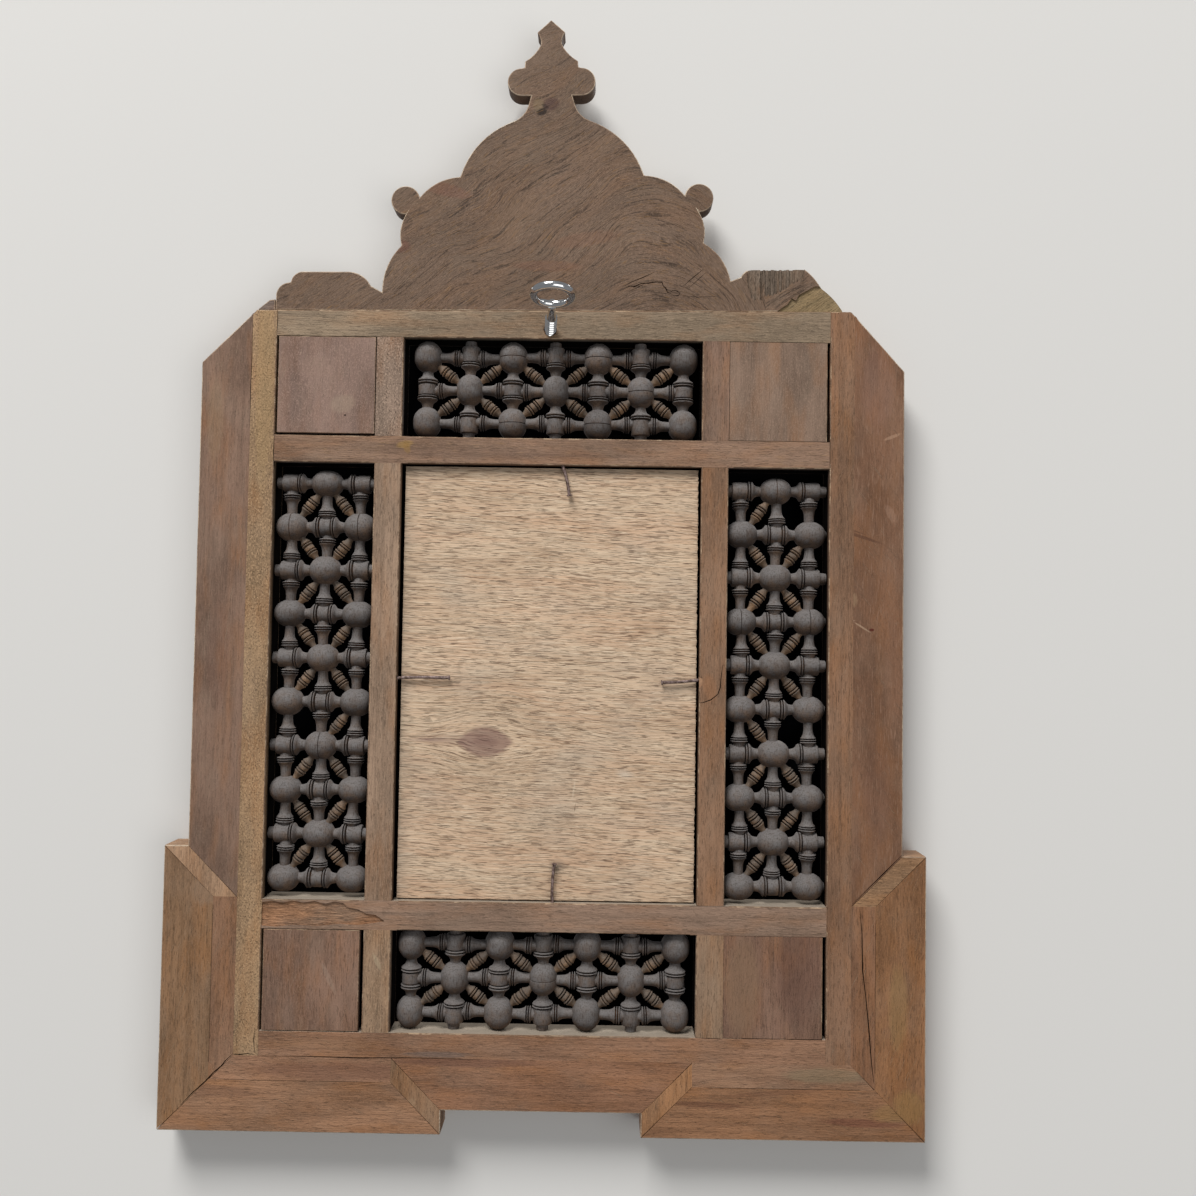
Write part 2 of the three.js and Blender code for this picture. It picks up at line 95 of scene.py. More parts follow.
def addNode(tree, kind, inputs=None, **settings):
    node = tree.nodes.new(kind)
    for key, value in settings.items():
        setattr(node, key, value)
    for key, value in (inputs or {}).items():
        if isinstance(value, bpy.types.NodeSocket):
            tree.links.new(value, node.inputs[key])
        else:
            node.inputs[key].default_value = value
    return node


def deselectAll():
    if bpy.context.object and bpy.context.object.mode != "OBJECT":
        bpy.ops.object.mode_set(mode="OBJECT")
    for item in bpy.context.view_layer.objects:
        item.select_set(False)


def takeUp(piece):
    # makes this the only selected and the active object
    deselectAll()
    piece.select_set(True)
    bpy.context.view_layer.objects.active = piece
    return piece


def editAll(piece, action="SELECT", work="VERT"):
    takeUp(piece)
    bpy.ops.object.mode_set(mode="EDIT")
    bpy.ops.mesh.select_mode(type=work)
    bpy.ops.mesh.select_all(action=action)


def pickEdges(piece, wanted):
    # edit mode with only the edges selected whose two ends pass the test
    editAll(piece, "DESELECT", "EDGE")
    bpy.ops.object.mode_set(mode="OBJECT")
    points = piece.data.vertices
    for edge in piece.data.edges:
        edge.select = wanted(*(points[i].co for i in edge.vertices))
    count = sum(edge.select for edge in piece.data.edges)
    bpy.ops.object.mode_set(mode="EDIT")
    return count


def finishMesh(piece, smoothAngle=18):
    # merge, face outwards, shade
    editAll(piece)
    bpy.ops.mesh.remove_doubles(threshold=2e-6)
    bpy.ops.mesh.normals_make_consistent(inside=False)
    bpy.ops.object.mode_set(mode="OBJECT")
    bpy.ops.object.shade_smooth_by_angle(angle=math.radians(smoothAngle))
    return piece


def applyPlace(piece):
    takeUp(piece)
    bpy.ops.object.transform_apply(location=True, rotation=True, scale=True)


def applyModifier(piece, kind, **settings):
    takeUp(piece)
    modifier = piece.modifiers.new(kind.title(), kind)
    for key, value in settings.items():
        setattr(modifier, key, value)
    bpy.ops.object.modifier_apply(modifier=modifier.name)


def copyOf(model, name):
    copy = model.copy()
    copy.data = model.data.copy()
    copy.name = name
    bpy.context.collection.objects.link(copy)
    return copy


def joinPieces(pieces, name):
    takeUp(pieces[0])
    for piece in pieces:
        piece.select_set(True)
    bpy.ops.object.join()
    pieces[0].name = name
    return pieces[0]


def standFor(piece, slot, *nodes):
    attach(piece, "root")
    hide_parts(*nodes)


def turnRings(name, rings, sides):
    # A turned shape up the Z axis: rings are (radius, along) or (radius, along, x, y), in mm.
    deselectAll()
    radius, along, x, y = (*rings[0], 0, 0)[:4]
    bpy.ops.mesh.primitive_circle_add(
        vertices=sides, radius=radius * mm, fill_type="NGON", location=(x * mm, y * mm, along * mm))
    piece = bpy.context.object
    piece.name = name
    applyPlace(piece)
    editAll(piece)
    for ring in rings[1:]:
        newRadius, newAlong, newX, newY = (*ring, 0, 0)[:4]
        move = Vector((newX - x, newY - y, newAlong - along)) * mm
        bpy.ops.mesh.extrude_region_move(TRANSFORM_OT_translate={"value": move})
        grow = newRadius / radius
        centre = Vector((newX, newY, newAlong)) * mm
        bpy.ops.transform.resize(value=(grow, grow, 1), center_override=centre)
        radius, along, x, y = newRadius, newAlong, newX, newY
    return finishMesh(piece, 40)


def sawnShape(name, outline, back, front):
    # A flat piece from its outline of (x, z) points, between two depths, all in mm.
    curve = bpy.data.curves.new(name, "CURVE")
    curve.dimensions = "2D"
    curve.fill_mode = "BOTH"
    curve.extrude = (front - back) / 2 * mm
    line = curve.splines.new("POLY")
    line.points.add(len(outline) - 1)
    for point, (x, z) in zip(line.points, outline):
        point.co = (x * mm, z * mm, 0, 1)
    line.use_cyclic_u = True
    piece = bpy.data.objects.new(name, curve)
    bpy.context.collection.objects.link(piece)
    takeUp(piece)
    bpy.ops.object.convert(target="MESH")
    piece = bpy.context.object
    piece.rotation_euler = (math.pi / 2, 0, 0)
    piece.location = (0, (back + front) / 2 * mm, 0)
    applyPlace(piece)
    editAll(piece)
    bpy.ops.mesh.remove_doubles(threshold=2e-6)
    bpy.ops.mesh.dissolve_limited(angle_limit=math.radians(0.5))
    bpy.ops.mesh.normals_make_consistent(inside=False)
    bpy.ops.object.mode_set(mode="OBJECT")
    return piece


def carve(piece, cutter):
    applyModifier(
        piece, "BOOLEAN", object=cutter, operation="DIFFERENCE", solver="EXACT", material_mode="TRANSFER")
    bpy.data.objects.remove(cutter)


def carveOutline(piece, outline, depth, material):
    # takes the outline's area off the back face, to a depth in mm
    cutter = sawnShape("cutter", outline, backPlane - 2, depth)
    cutter.data.materials.append(material)
    carve(piece, cutter)


def cutCrack(piece, path, width, depth, surface, material):
    # A thin split along a path of (x, z) points, widest in the middle and closing at its ends.
    left, right = [], []
    for i, (x, z) in enumerate(path):
        before, after = Vector(path[max(0, i - 1)]), Vector(path[min(len(path) - 1, i + 1)])
        run = (after - before).normalized()
        half = width / 2 * (0.25 if i in (0, len(path) - 1) else 1 - 0.3 * (i % 2))
        left.append((x - run.y * half, z + run.x * half))
        right.append((x + run.y * half, z - run.x * half))
    carveOutline(piece, left + right[::-1], surface + depth, material)


# Camera: low, almost square on to the back.
camera = {"place": (22.55, -464.62, -142.44), "turn": (92.293, -0.867, 0.237), "lens": 34.62}
cameraData = bpy.data.cameras.new("camera")
cameraData.lens = camera["lens"]
cameraData.sensor_width = 36
cameraData.clip_start, cameraData.clip_end = 0.01, 20
cameraObject = bpy.data.objects.new("camera", cameraData)
bpy.context.collection.objects.link(cameraObject)
cameraObject.location = Vector(camera["place"]) * mm
cameraObject.rotation_euler = [math.radians(a) for a in camera["turn"]]
bpy.context.scene.camera = cameraObject
bpy.context.scene.view_settings.view_transform = "Standard"

# Plain soft studio: a pale sheet that the frame leans its front on, a big soft light from above,
# a fill from below and two weaker lights for the front.
studio = {
    "sheet": {"tone": "#dcdad6", "size": 3.0, "behind": 1.0},
    # the card: a black sheet of painted shade behind the openwork and the joints
    "card": {
        "tone": "#0b0c0e", "behind": 0.6,
        "outline": [
            (-40, -338), (40, -338), (44, -348), (160.5, -348), (160.5, -234), (150.5, -234), (150.5, -38),
            (122, -9), (-122, -9), (-151.5, -38), (-151.5, -234), (-161.5, -234), (-161.5, -348),
            (-44, -348)]},
    "world": {"tone": "#e6e9ee", "strength": 0.26},
    "aim": (0, 0.03, -0.11),  # where the lights point, metres
    "lights": {
        "keyAbove": {"place": (-0.5, -1.0, 1.35), "size": 0.8, "power": 40},
        "fillBack": {"place": (0.8, -1.5, -0.5), "size": 1.4, "power": 9},
        "frontLeft": {"place": (0.9, 1.1, 0.9), "size": 0.9, "power": 14},
        "frontRight": {"place": (-1.2, 1.0, 0.1), "size": 1.0, "power": 6}}}


def stageMaterial(name, tone):
    # seen from the back's side only, so that it doesn't hide the front in other views
    material, tree = newMaterial(name)
    matt = addNode(tree, "ShaderNodeBsdfDiffuse", {"Color": colour(tone), "Roughness": 0.5})
    clear = addNode(tree, "ShaderNodeBsdfTransparent")
    facing = addNode(tree, "ShaderNodeNewGeometry")
    mix = addNode(tree, "ShaderNodeMixShader", {
        0: facing.outputs["Backfacing"], 1: matt.outputs[0], 2: clear.outputs[0]})
    addNode(tree, "ShaderNodeOutputMaterial", {"Surface": mix.outputs[0]})
    return material


def addStage():
    sheet, card = studio["sheet"], studio["card"]
    deselectAll()
    bpy.ops.mesh.primitive_plane_add(
        size=sheet["size"], location=(0, cadBox[1].y + sheet["behind"] * mm, studio["aim"][2]),
        rotation=(math.pi / 2, 0, 0))
    pale = bpy.context.object
    pale.name = "pale_sheet"
    pale.data.materials.append(stageMaterial("Matt paper sheet", sheet["tone"]))
    # black card under the openwork and the joints, inside the frame's outline, as painted shade seen through
    # them: only its back face stays
    behind = cadBox[1].y / mm + card["behind"]
    dark = sawnShape("shade_card", card["outline"], behind, behind + 0.3)
    editAll(dark, "DESELECT", "FACE")
    bpy.ops.object.mode_set(mode="OBJECT")
    for face in dark.data.polygons:
        face.select = face.normal.y > -0.9
    bpy.ops.object.mode_set(mode="EDIT")
    bpy.ops.mesh.delete(type="FACE")
    bpy.ops.object.mode_set(mode="OBJECT")
    dark.data.materials.append(stageMaterial("Black card for painted shade", card["tone"]))
    for item in (pale, dark):
        item.visible_diffuse = item.visible_glossy = item.visible_transmission = item.visible_shadow = False

    world = bpy.data.worlds.new("studio")
    bpy.context.scene.world = world
    world.use_nodes = True
    background = world.node_tree.nodes["Background"]
    background.inputs["Color"].default_value = colour(studio["world"]["tone"])
    background.inputs["Strength"].default_value = studio["world"]["strength"]
    target = Vector(studio["aim"])
    for name, look in studio["lights"].items():
        data = bpy.data.lights.new(name, "AREA")
        data.shape, data.size, data.energy = "SQUARE", look["size"], look["power"]
        item = bpy.data.objects.new(name, data)
        bpy.context.collection.objects.link(item)
        item.location = look["place"]
        item.rotation_euler = (target - item.location).to_track_quat("-Z", "Y").to_euler()


addStage()
print("camera, stage and lights made")


# Wood finishes. Old oiled hardwood: planed by hand, darkened, dusty, with open pores along the
# grain. Sizes of patterns are (along the grain, across it) in mm; pores are drawn about twice as
# coarse as real ones so that they show.
oldWood = {
    "roughness": 0.62,
    "wander": 1.6,  # how far the grain strays, mm
    "relief": 0.24,
    "sizes": {
        "tone": (48, 13), "warmth": (34, 10), "bands": (80, 2.2), "streaks": (28, 0.8), "rings": (60, 7),
        "fibre": (5, 0.42), "pores": (3.6, 0.34), "flecks": (0.75, 0.5), "scratches": (24, 0.16),
        "dust": (20, 12)},
    # each layer: from and to noise values, the tint it brings in (a colour, or a shade of the base)
    "steps": {
        "tone": (0.38, 0.62, 1.28), "warmth": (0.47, 0.66, "#96602f"), "bands": (0.5, 0.66, 0.58),
        "streaks": (0.52, 0.68, 0.6), "rings": (0.21, 0.13, 0.4), "fibre": (0.5, 0.68, 1.5),
        "pores": (0.6, 0.7, 0.3), "flecks": (0.54, 0.64, 1.9), "scratches": (0.68, 0.73, "#b8a38a"),
        "dust": (0.48, 0.7, "#938576")},
    "amounts": {
        "tone": 1.0, "warmth": 0.3, "bands": 0.45, "streaks": 0.35, "rings": 0, "fibre": 0.32, "pores": 0.5,
        "flecks": 0.16, "scratches": 0.3, "dust": 0.12},
    "scratchTurn": 24,  # degrees off the grain
    "shadeAndDirt": 0.0,  # how much painted shade, with some dirt, darkens the walls of the openings
    # that painted shade starts, is full, fades and is gone this far below the back face, mm
    "grimeDepth": (0.2, 4.5, 14.3, 14.8),
    "grimeTop": (-6, -5),  # and fades out between these heights, mm
    "ledgeDustAndLight": 0.0,  # how much pale dust and painted light lie on what faces up in them
}


def stainMask(tree, vector, x, z, halfWidth, halfHeight, angle, low, high, amount, broken=None):
    # an oval stain, worn place or scratch near the back face, fading at its rim; broken roughens the rim
    spot = addNode(tree, "ShaderNodeMapping", {
        "Vector": vector, "Location": Vector((x, 32, z)) * mm, "Rotation": (0, math.radians(-angle), 0),
        "Scale": Vector((halfWidth, 12, halfHeight)) * mm}, vector_type="TEXTURE")
    fade = addNode(tree, "ShaderNodeTexGradient", {
        "Vector": spot.outputs[0]}, gradient_type="SPHERICAL").outputs["Fac"]
    if broken:
        fade = addNode(tree, "ShaderNodeMath", {
            0: broken, 1: 0.5, 2: fade}, operation="MULTIPLY_ADD").outputs[0]
    return addNode(tree, "ShaderNodeMapRange", {
        "Value": fade, "From Min": low, "From Max": high, "To Max": amount}).outputs[0]


def woodMaterial(name, base, grain="x", seed=0, patches=(), flow=None, **changes):
    look = {key: {**value, **changes.get(key, {})} if isinstance(value, dict) else changes.get(key, value)
            for key, value in oldWood.items()}
    material, tree = newMaterial(name)
    place = addNode(tree, "ShaderNodeTexCoord").outputs["Object"]
    turn = {"x": 0, "z": 90}.get(grain, grain)  # degrees, clockwise from X as seen on the back
    shift = Vector((0.37, 0.91, 0.53)) * seed

    # the grain strays a little from straight
    stray = addNode(tree, "ShaderNodeMapping", {
        "Vector": place, "Location": shift, "Rotation": (0, math.radians(turn), 0),
        "Scale": Vector((36, 11, 11)) * mm}, vector_type="TEXTURE")
    strayNoise = addNode(tree, "ShaderNodeTexNoise", {"Vector": stray.outputs[0], "Scale": 1, "Detail": 2})
    along = addNode(tree, "ShaderNodeVectorMath", {
        0: strayNoise.outputs["Color"], 1: Vector((1, 1, 1)) * look["wander"] * mm, 2: place},
        operation="MULTIPLY_ADD").outputs[0]
    if flow:
        along = flow(tree, along)

    patterns, masks = {}, {}
    shade = colour(base, 0.82)
    for layer, (length, width) in look["sizes"].items():
        low, high, tint = look["steps"][layer]
        amount = look["amounts"][layer]
        if amount == 0:
            continue
        turned = turn + (look["scratchTurn"] if layer == "scratches" else 0)
        mapping = addNode(tree, "ShaderNodeMapping", {
            "Vector": along, "Location": shift + Vector((0.11, 0.07, 0.05)) * len(patterns),
            "Rotation": (0, math.radians(turned), 0),
            "Scale": Vector((length, width, width)) * mm}, vector_type="TEXTURE")
        patterns[layer] = addNode(tree, "ShaderNodeTexNoise", {
            "Vector": mapping.outputs[0], "Scale": 1, "Detail": 1 if width < 1 else 2.5,
            "Roughness": 0.55}).outputs["Fac"]
        value = patterns[layer]
        if layer == "rings":
            # thin lines where the noise passes set levels, broken up by the streaks
            levels = addNode(tree, "ShaderNodeMath", {0: value, 1: 5.5}, operation="MULTIPLY")
            value = addNode(tree, "ShaderNodeMath", {
                0: levels.outputs[0], 1: 0.5}, operation="PINGPONG").outputs[0]
            value = addNode(tree, "ShaderNodeMath", {
                0: patterns["streaks"], 1: 0.3, 2: value}, operation="MULTIPLY_ADD").outputs[0]
        masks[layer] = addNode(tree, "ShaderNodeMapRange", {
            "Value": value, "From Min": low, "From Max": high, "To Max": amount}).outputs[0]
        tint = colour(tint) if isinstance(tint, str) else colour(base, tint)
        shade = addNode(tree, "ShaderNodeMix", {
            0: masks[layer], 6: shade, 7: tint}, data_type="RGBA").outputs[2]

    for x, z, halfWidth, halfHeight, angle, tint, amount in patches:
        mask = stainMask(
            tree, place, x, z, halfWidth, halfHeight, angle, 0.3, 0.62, amount, patterns["fibre"])
        shade = addNode(tree, "ShaderNodeMix", {
            0: mask, 6: shade, 7: colour(tint)}, data_type="RGBA").outputs[2]

    if look["shadeAndDirt"]:
        # painted shade with some dirt, near black: below the back face but short of the front one, and not on
        # the frame's top
        parts = addNode(tree, "ShaderNodeSeparateXYZ", {0: place})
        starts, full, fades, gone = ((backPlane + depth) * mm for depth in look["grimeDepth"])
        lowest, highest = look["grimeTop"]
        below = addNode(tree, "ShaderNodeMapRange", {
            "Value": parts.outputs["Z"], "From Min": lowest * mm, "From Max": highest * mm,
            "To Min": 1.0, "To Max": 0.0})
        deep = addNode(tree, "ShaderNodeMapRange", {
            "Value": parts.outputs["Y"], "From Min": starts, "From Max": full, "To Max": look["shadeAndDirt"]})
        near = addNode(tree, "ShaderNodeMapRange", {
            "Value": parts.outputs["Y"], "From Min": fades, "From Max": gone,
            "To Min": 1.0, "To Max": 0.0})
        inside = addNode(tree, "ShaderNodeMath", {
            0: near.outputs[0], 1: below.outputs[0]}, operation="MULTIPLY")
        wallShadeAndDirt = addNode(tree, "ShaderNodeMath", {
            0: deep.outputs[0], 1: inside.outputs[0]}, operation="MULTIPLY")
        # the near-black painted shade, with some dirt, laid on the walls
        shade = addNode(tree, "ShaderNodeMix", {
            0: wallShadeAndDirt.outputs[0], 6: shade, 7: colour("#0d0b0a")}, data_type="RGBA").outputs[2]
        # pale dust and painted light on the ledges that face up inside the openings
        upward = addNode(tree, "ShaderNodeSeparateXYZ", {
            0: addNode(tree, "ShaderNodeNewGeometry").outputs["True Normal"]})
        ledge = addNode(tree, "ShaderNodeMapRange", {
            "Value": upward.outputs["Z"], "From Min": 0.6, "From Max": 0.9, "To Max": look["ledgeDustAndLight"]})
        dustAndLight = addNode(tree, "ShaderNodeMath", {
            0: ledge.outputs[0], 1: near.outputs[0]}, operation="MULTIPLY")
        shade = addNode(tree, "ShaderNodeMix", {
            0: dustAndLight.outputs[0], 6: shade, 7: colour("#a79a8a")}, data_type="RGBA").outputs[2]

    sheen = 0.12
    if look["shadeAndDirt"]:
        sheen = addNode(tree, "ShaderNodeMapRange", {
            "Value": wallShadeAndDirt.outputs[0], "To Min": sheen, "To Max": 0.0}).outputs[0]
    height = patterns["fibre"]
    for layer, share in (("bands", 0.6), ("streaks", 0.4), ("flecks", 0.7)):
        height = addNode(tree, "ShaderNodeMath", {
            0: patterns[layer], 1: share, 2: height}, operation="MULTIPLY_ADD").outputs[0]
    for layer, share in (("pores", -1.0), ("scratches", -1.5)):
        height = addNode(tree, "ShaderNodeMath", {
            0: masks[layer], 1: share, 2: height}, operation="MULTIPLY_ADD").outputs[0]
    bump = addNode(tree, "ShaderNodeBump", {
        "Height": height, "Strength": 0.8, "Distance": look["relief"] * mm})
    gloss = addNode(tree, "ShaderNodeMapRange", {
        "Value": patterns["dust"], "From Min": 0.35, "From Max": 0.65,
        "To Min": look["roughness"] - 0.07, "To Max": look["roughness"] + 0.1})
    shader = addNode(tree, "ShaderNodeBsdfPrincipled", {
        "Base Color": shade, "Roughness": gloss.outputs[0], "IOR": 1.45, "Specular IOR Level": sheen,
        "Normal": bump.outputs[0]})
    addNode(tree, "ShaderNodeOutputMaterial", {"Surface": shader.outputs[0]})
    return material


# Edges rubbed back to paler wood with a painted highlight, and the dirt inside splits, also laid in lathe
# grooves as painted shade.
# pale edges: rubbed wood and a painted highlight along the arris
paleArrisAndHighlight = woodMaterial(
    "Rubbed wood arris with painted highlight", "#9a806a", sizes={"tone": (16, 16)}, steps={"tone": (0.35, 0.6, "#d3c2aa")},
    amounts={"fibre": 0.3, "warmth": 0.1, "tone": 0.75})
softArris = woodMaterial(
    "Handled wood arris", "#836a56", sizes={"tone": (5, 5)}, steps={"tone": (0.5, 0.6, "#b59d82")},
    amounts={"fibre": 0.3, "warmth": 0.2, "tone": 0.8})
darkSplit = woodMaterial(
    "Dirt in splits and lathe grooves, with painted shade", "#1d1512", amounts={"fibre": 0.1, "flecks": 0.05, "scratches": 0.01, "dust": 0.02})

# Frame boards, one entry each: own tone, grain and wear. A loose board stands clear of its
# neighbours, the others are let in tight. Patches: x, z, half width, half height, turn, colour, amount.
boards = {
    "side_moulding_left": {
        "slot": "moulding", "base": "#775f50", "grain": "z", "scratchTurn": 8,
        "amounts": {"flecks": 0.15, "scratches": 0.5, "bands": 0.3, "pores": 0.3},
        "patches": [(-147, -48, 4.5, 22, 0, "#8d7860", 0.3), (-143, -150, 6, 30, 0, "#7a5a4c", 0.25)]},
    "side_moulding_right": {
        "slot": "moulding", "base": "#70523f", "grain": "z", "scratchTurn": -38,
        "amounts": {"scratches": 0.4, "bands": 0.15, "pores": 0.25, "streaks": 0.12, "warmth": 0.2},
        "patches": [
            (131, -93.8, 15, 0.9, -18, "#5c4031", 0.75), (128, -91.3, 9, 0.5, -18, "#5c4031", 0.7),
            (146.5, -51, 5, 0.9, 22, "#b8967c", 0.35), (146, -84.5, 2.2, 5.5, 30, "#a98a76", 0.25),
            (128.6, -121.9, 4, 4.5, 0, "#94795e", 0.6), (125.5, -131, 6.5, 0.5, 4, "#b3967c", 0.6),
            (134, -133.6, 5, 0.5, -32, "#b3967c", 0.55), (138, -134.6, 1.3, 0.8, 0, "#54261c", 0.9),
            (140, -30, 9, 22, 0, "#86675a", 0.3), (141, -205, 8, 26, 0, "#6f4f40", 0.25)]},
    "ear_return_left": {"slot": "moulding", "base": "#9b7c62", "grain": "z"},
    "ear_return_right": {"slot": "moulding", "base": "#86674c", "grain": "x", "amounts": {"flecks": 0.3}},
    "ear_board_left": {
        "slot": "moulding", "base": "#7f6249", "grain": "z",
        "patches": [(-139, -240, 13, 5, 12, "#8b7464", 0.5), (-146, -250, 7, 8, 0, "#8e7966", 0.45)]},
    "ear_board_right": {
        "slot": "moulding", "base": "#866043", "grain": "z",
        "patches": [(150, -295, 5, 22, 0, "#94774f", 0.4), (155, -336, 8, 9, 30, "#957548", 0.45)]},
    "foot_board_left": {
        "slot": "moulding", "base": "#8e6b52", "grain": "x",
        "patches": [(-140, -334, 24, 3.2, -3, "#5f473c", 0.35)]},
    "foot_board_right": {
        "slot": "moulding", "base": "#866248", "grain": "x",
        "patches": [
            (70, -336.5, 20, 1.6, -2, "#5f3f30", 0.55), (135, -343, 20, 2.2, -2, "#6b3f33", 0.5),
            (150, -338, 14, 5, 10, "#957548", 0.4), (98, -331, 26, 1.4, 5, "#6b4a38", 0.35)]},
    "foot_return_left": {
        "slot": "moulding", "base": "#84674f", "grain": "z",
        "patches": [(-56, -338, 3, 2, 40, "#a08367", 0.5)]},
    "foot_return_right": {"slot": "moulding", "base": "#966e4e", "grain": "z"},
    "centre_board": {
        "slot": "moulding", "base": "#8a654d", "grain": "x",
        "patches": [(-32, -320.5, 36, 2.4, 0, "#6b4d41", 0.5)]},
    "ear_filler_left": {"slot": "moulding", "base": "#82624c", "grain": "z"},
    "ear_filler_right": {"slot": "moulding", "base": "#7a5943", "grain": "z"},
    "foot_filler_left": {
        "slot": "moulding", "base": "#936f57", "grain": "x",
        "patches": [(-86, -325, 46, 5, 0, "#704f40", 0.45)]},
    "foot_filler_right": {
        "slot": "moulding", "base": "#8c6b54", "grain": "x",
        "patches": [(119.7, -323.6, 22, 4, 0, "#83725a", 0.6)]},
    "stile_left": {
        "slot": "strip", "base": "#93785c", "grain": "z", "relief": 0.35,
        "sizes": {"pores": (1.0, 0.55), "flecks": (0.9, 0.6)},
        "steps": {"pores": (0.57, 0.66, 0.3)},
        "amounts": {"flecks": 0.45, "bands": 0.15, "pores": 0.45, "fibre": 0.3, "streaks": 0.1},
        "patches": [(-126, -30, 5, 60, 0, "#a3865f", 0.4)]},
    "stile_right": {"slot": "strip", "base": "#7d5f4a", "grain": "z"},
    "rail_top": {"slot": "strip", "base": "#85735f", "grain": "x"},
    "rail_upper": {
        "slot": "strip", "base": "#816755", "grain": "x",
        "patches": [
            (-64.6, -57.2, 4.6, 1.9, 12, "#9a7a48", 0.6), (-63.6, -58.6, 1.8, 3.4, 20, "#8c6c3e", 0.6),
            (-20, -61, 60, 3, 0, "#6f574a", 0.3)]},
    "rail_lower": {"slot": "strip", "base": "#846c5b", "grain": "x", "ledgeDustAndLight": 0.8},
    "rail_bottom": {
        "slot": "strip", "base": "#876650", "grain": "x", "ledgeDustAndLight": 0.85,
        "patches": [(-45, -317.4, 18, 1.6, 0, "#6c625c", 0.5), (-95, -314, 26, 3, 0, "#917158", 0.3)]},
    "muntin_top_left": {
        "slot": "strip", "base": "#836f60", "grain": "z", "relief": 0.35,
        "sizes": {"pores": (1.0, 0.5), "flecks": (0.9, 0.6)},
        "amounts": {"flecks": 0.6, "pores": 0.6, "bands": 0.2}},
    "muntin_top_right": {"slot": "strip", "base": "#765e4f", "grain": "z"},
    "muntin_middle_left": {"slot": "strip", "base": "#8f7763", "grain": "z", "amounts": {"bands": 0.55}},
    "muntin_middle_right": {
        "slot": "strip", "base": "#82644e", "grain": "z",
        "patches": [(68.9, -160.5, 3.6, 7.5, 8, "#a0714f", 0.35)]},
    "muntin_bottom_left": {
        "slot": "strip", "base": "#8c735c", "grain": "z", "relief": 0.28,
        "amounts": {"flecks": 0.3},
        "patches": [(-71.5, -279, 1.2, 5, 25, "#b4a184", 0.4)]},
    "muntin_bottom_right": {"slot": "strip", "base": "#856d58", "grain": "z"},
    "corner_panel_top_left": {
        "slot": "panel", "base": "#7b655a", "grain": "z", "loose": True, "seam": 0.05, "arris": 0.22,
        "relief": 0.2,
        "amounts": {
            "flecks": 0.4, "warmth": 0.15, "bands": 0.12, "streaks": 0.12, "pores": 0.25,
            "scratches": 0.45},
        "patches": [
            (-90.7, -44.9, 0.7, 0.5, 0, "#2a1c16", 0.9), (-92, -40, 7, 5, 20, "#9c8a76", 0.35),
            (-104, -24, 9, 6, 0, "#93796a", 0.3)]},
    "corner_panel_top_right": {
        "slot": "panel", "base": "#786354", "grain": "z", "seam": -0.03,
        "amounts": {"pores": 0.2, "bands": 0.2, "streaks": 0.15, "flecks": 0.3}},
    "corner_panel_bottom_left": {
        "slot": "panel", "base": "#7d6252", "grain": "z", "loose": True, "seam": 0.1, "arris": 0.25,
        "amounts": {"scratches": 0.35},
        "patches": [(-92, -286, 1.4, 9, 25, "#a08b7a", 0.3)]},
    "corner_panel_bottom_right": {
        "slot": "panel", "base": "#785c4c", "grain": "z", "seam": -0.03,
        "patches": [(84, -287, 9, 26, 0, "#876b54", 0.6), (108, -280, 12, 28, 0, "#5f4339", 0.4)]},
    "crest_tip_left": {"slot": "crest", "base": "#74645a", "grain": "x"},
}
fit = {"moulding": -0.12, "strip": 0.02, "panel": 0.05, "crest": 0.02}  # taken off each board's sides, mm
shadedWallSlots = ("strip", "panel")  # boards that wall the openings and get the painted shade there


surfaces = {}
for node in boards:
    sawn = frame["nodes"][node].data
    surfaces[node] = BVHTree.FromPolygons(
        [point.co for point in sawn.vertices], [face.vertices for face in sawn.polygons])


def meetsNeighbour(node, point):
    # whether another board of the frame touches this one here
    return any(
        surface.find_nearest(point, 0.7 * mm)[0] for other, surface in surfaces.items() if other != node)


def keepInBox(piece):
    # the worn surface never stands outside the part's own size
    for point in piece.data.vertices:
        for i in range(3):
            point.co[i] = min(max(point.co[i], cadBox[0][i] + 0.02 * mm), cadBox[1][i] - 0.02 * mm)


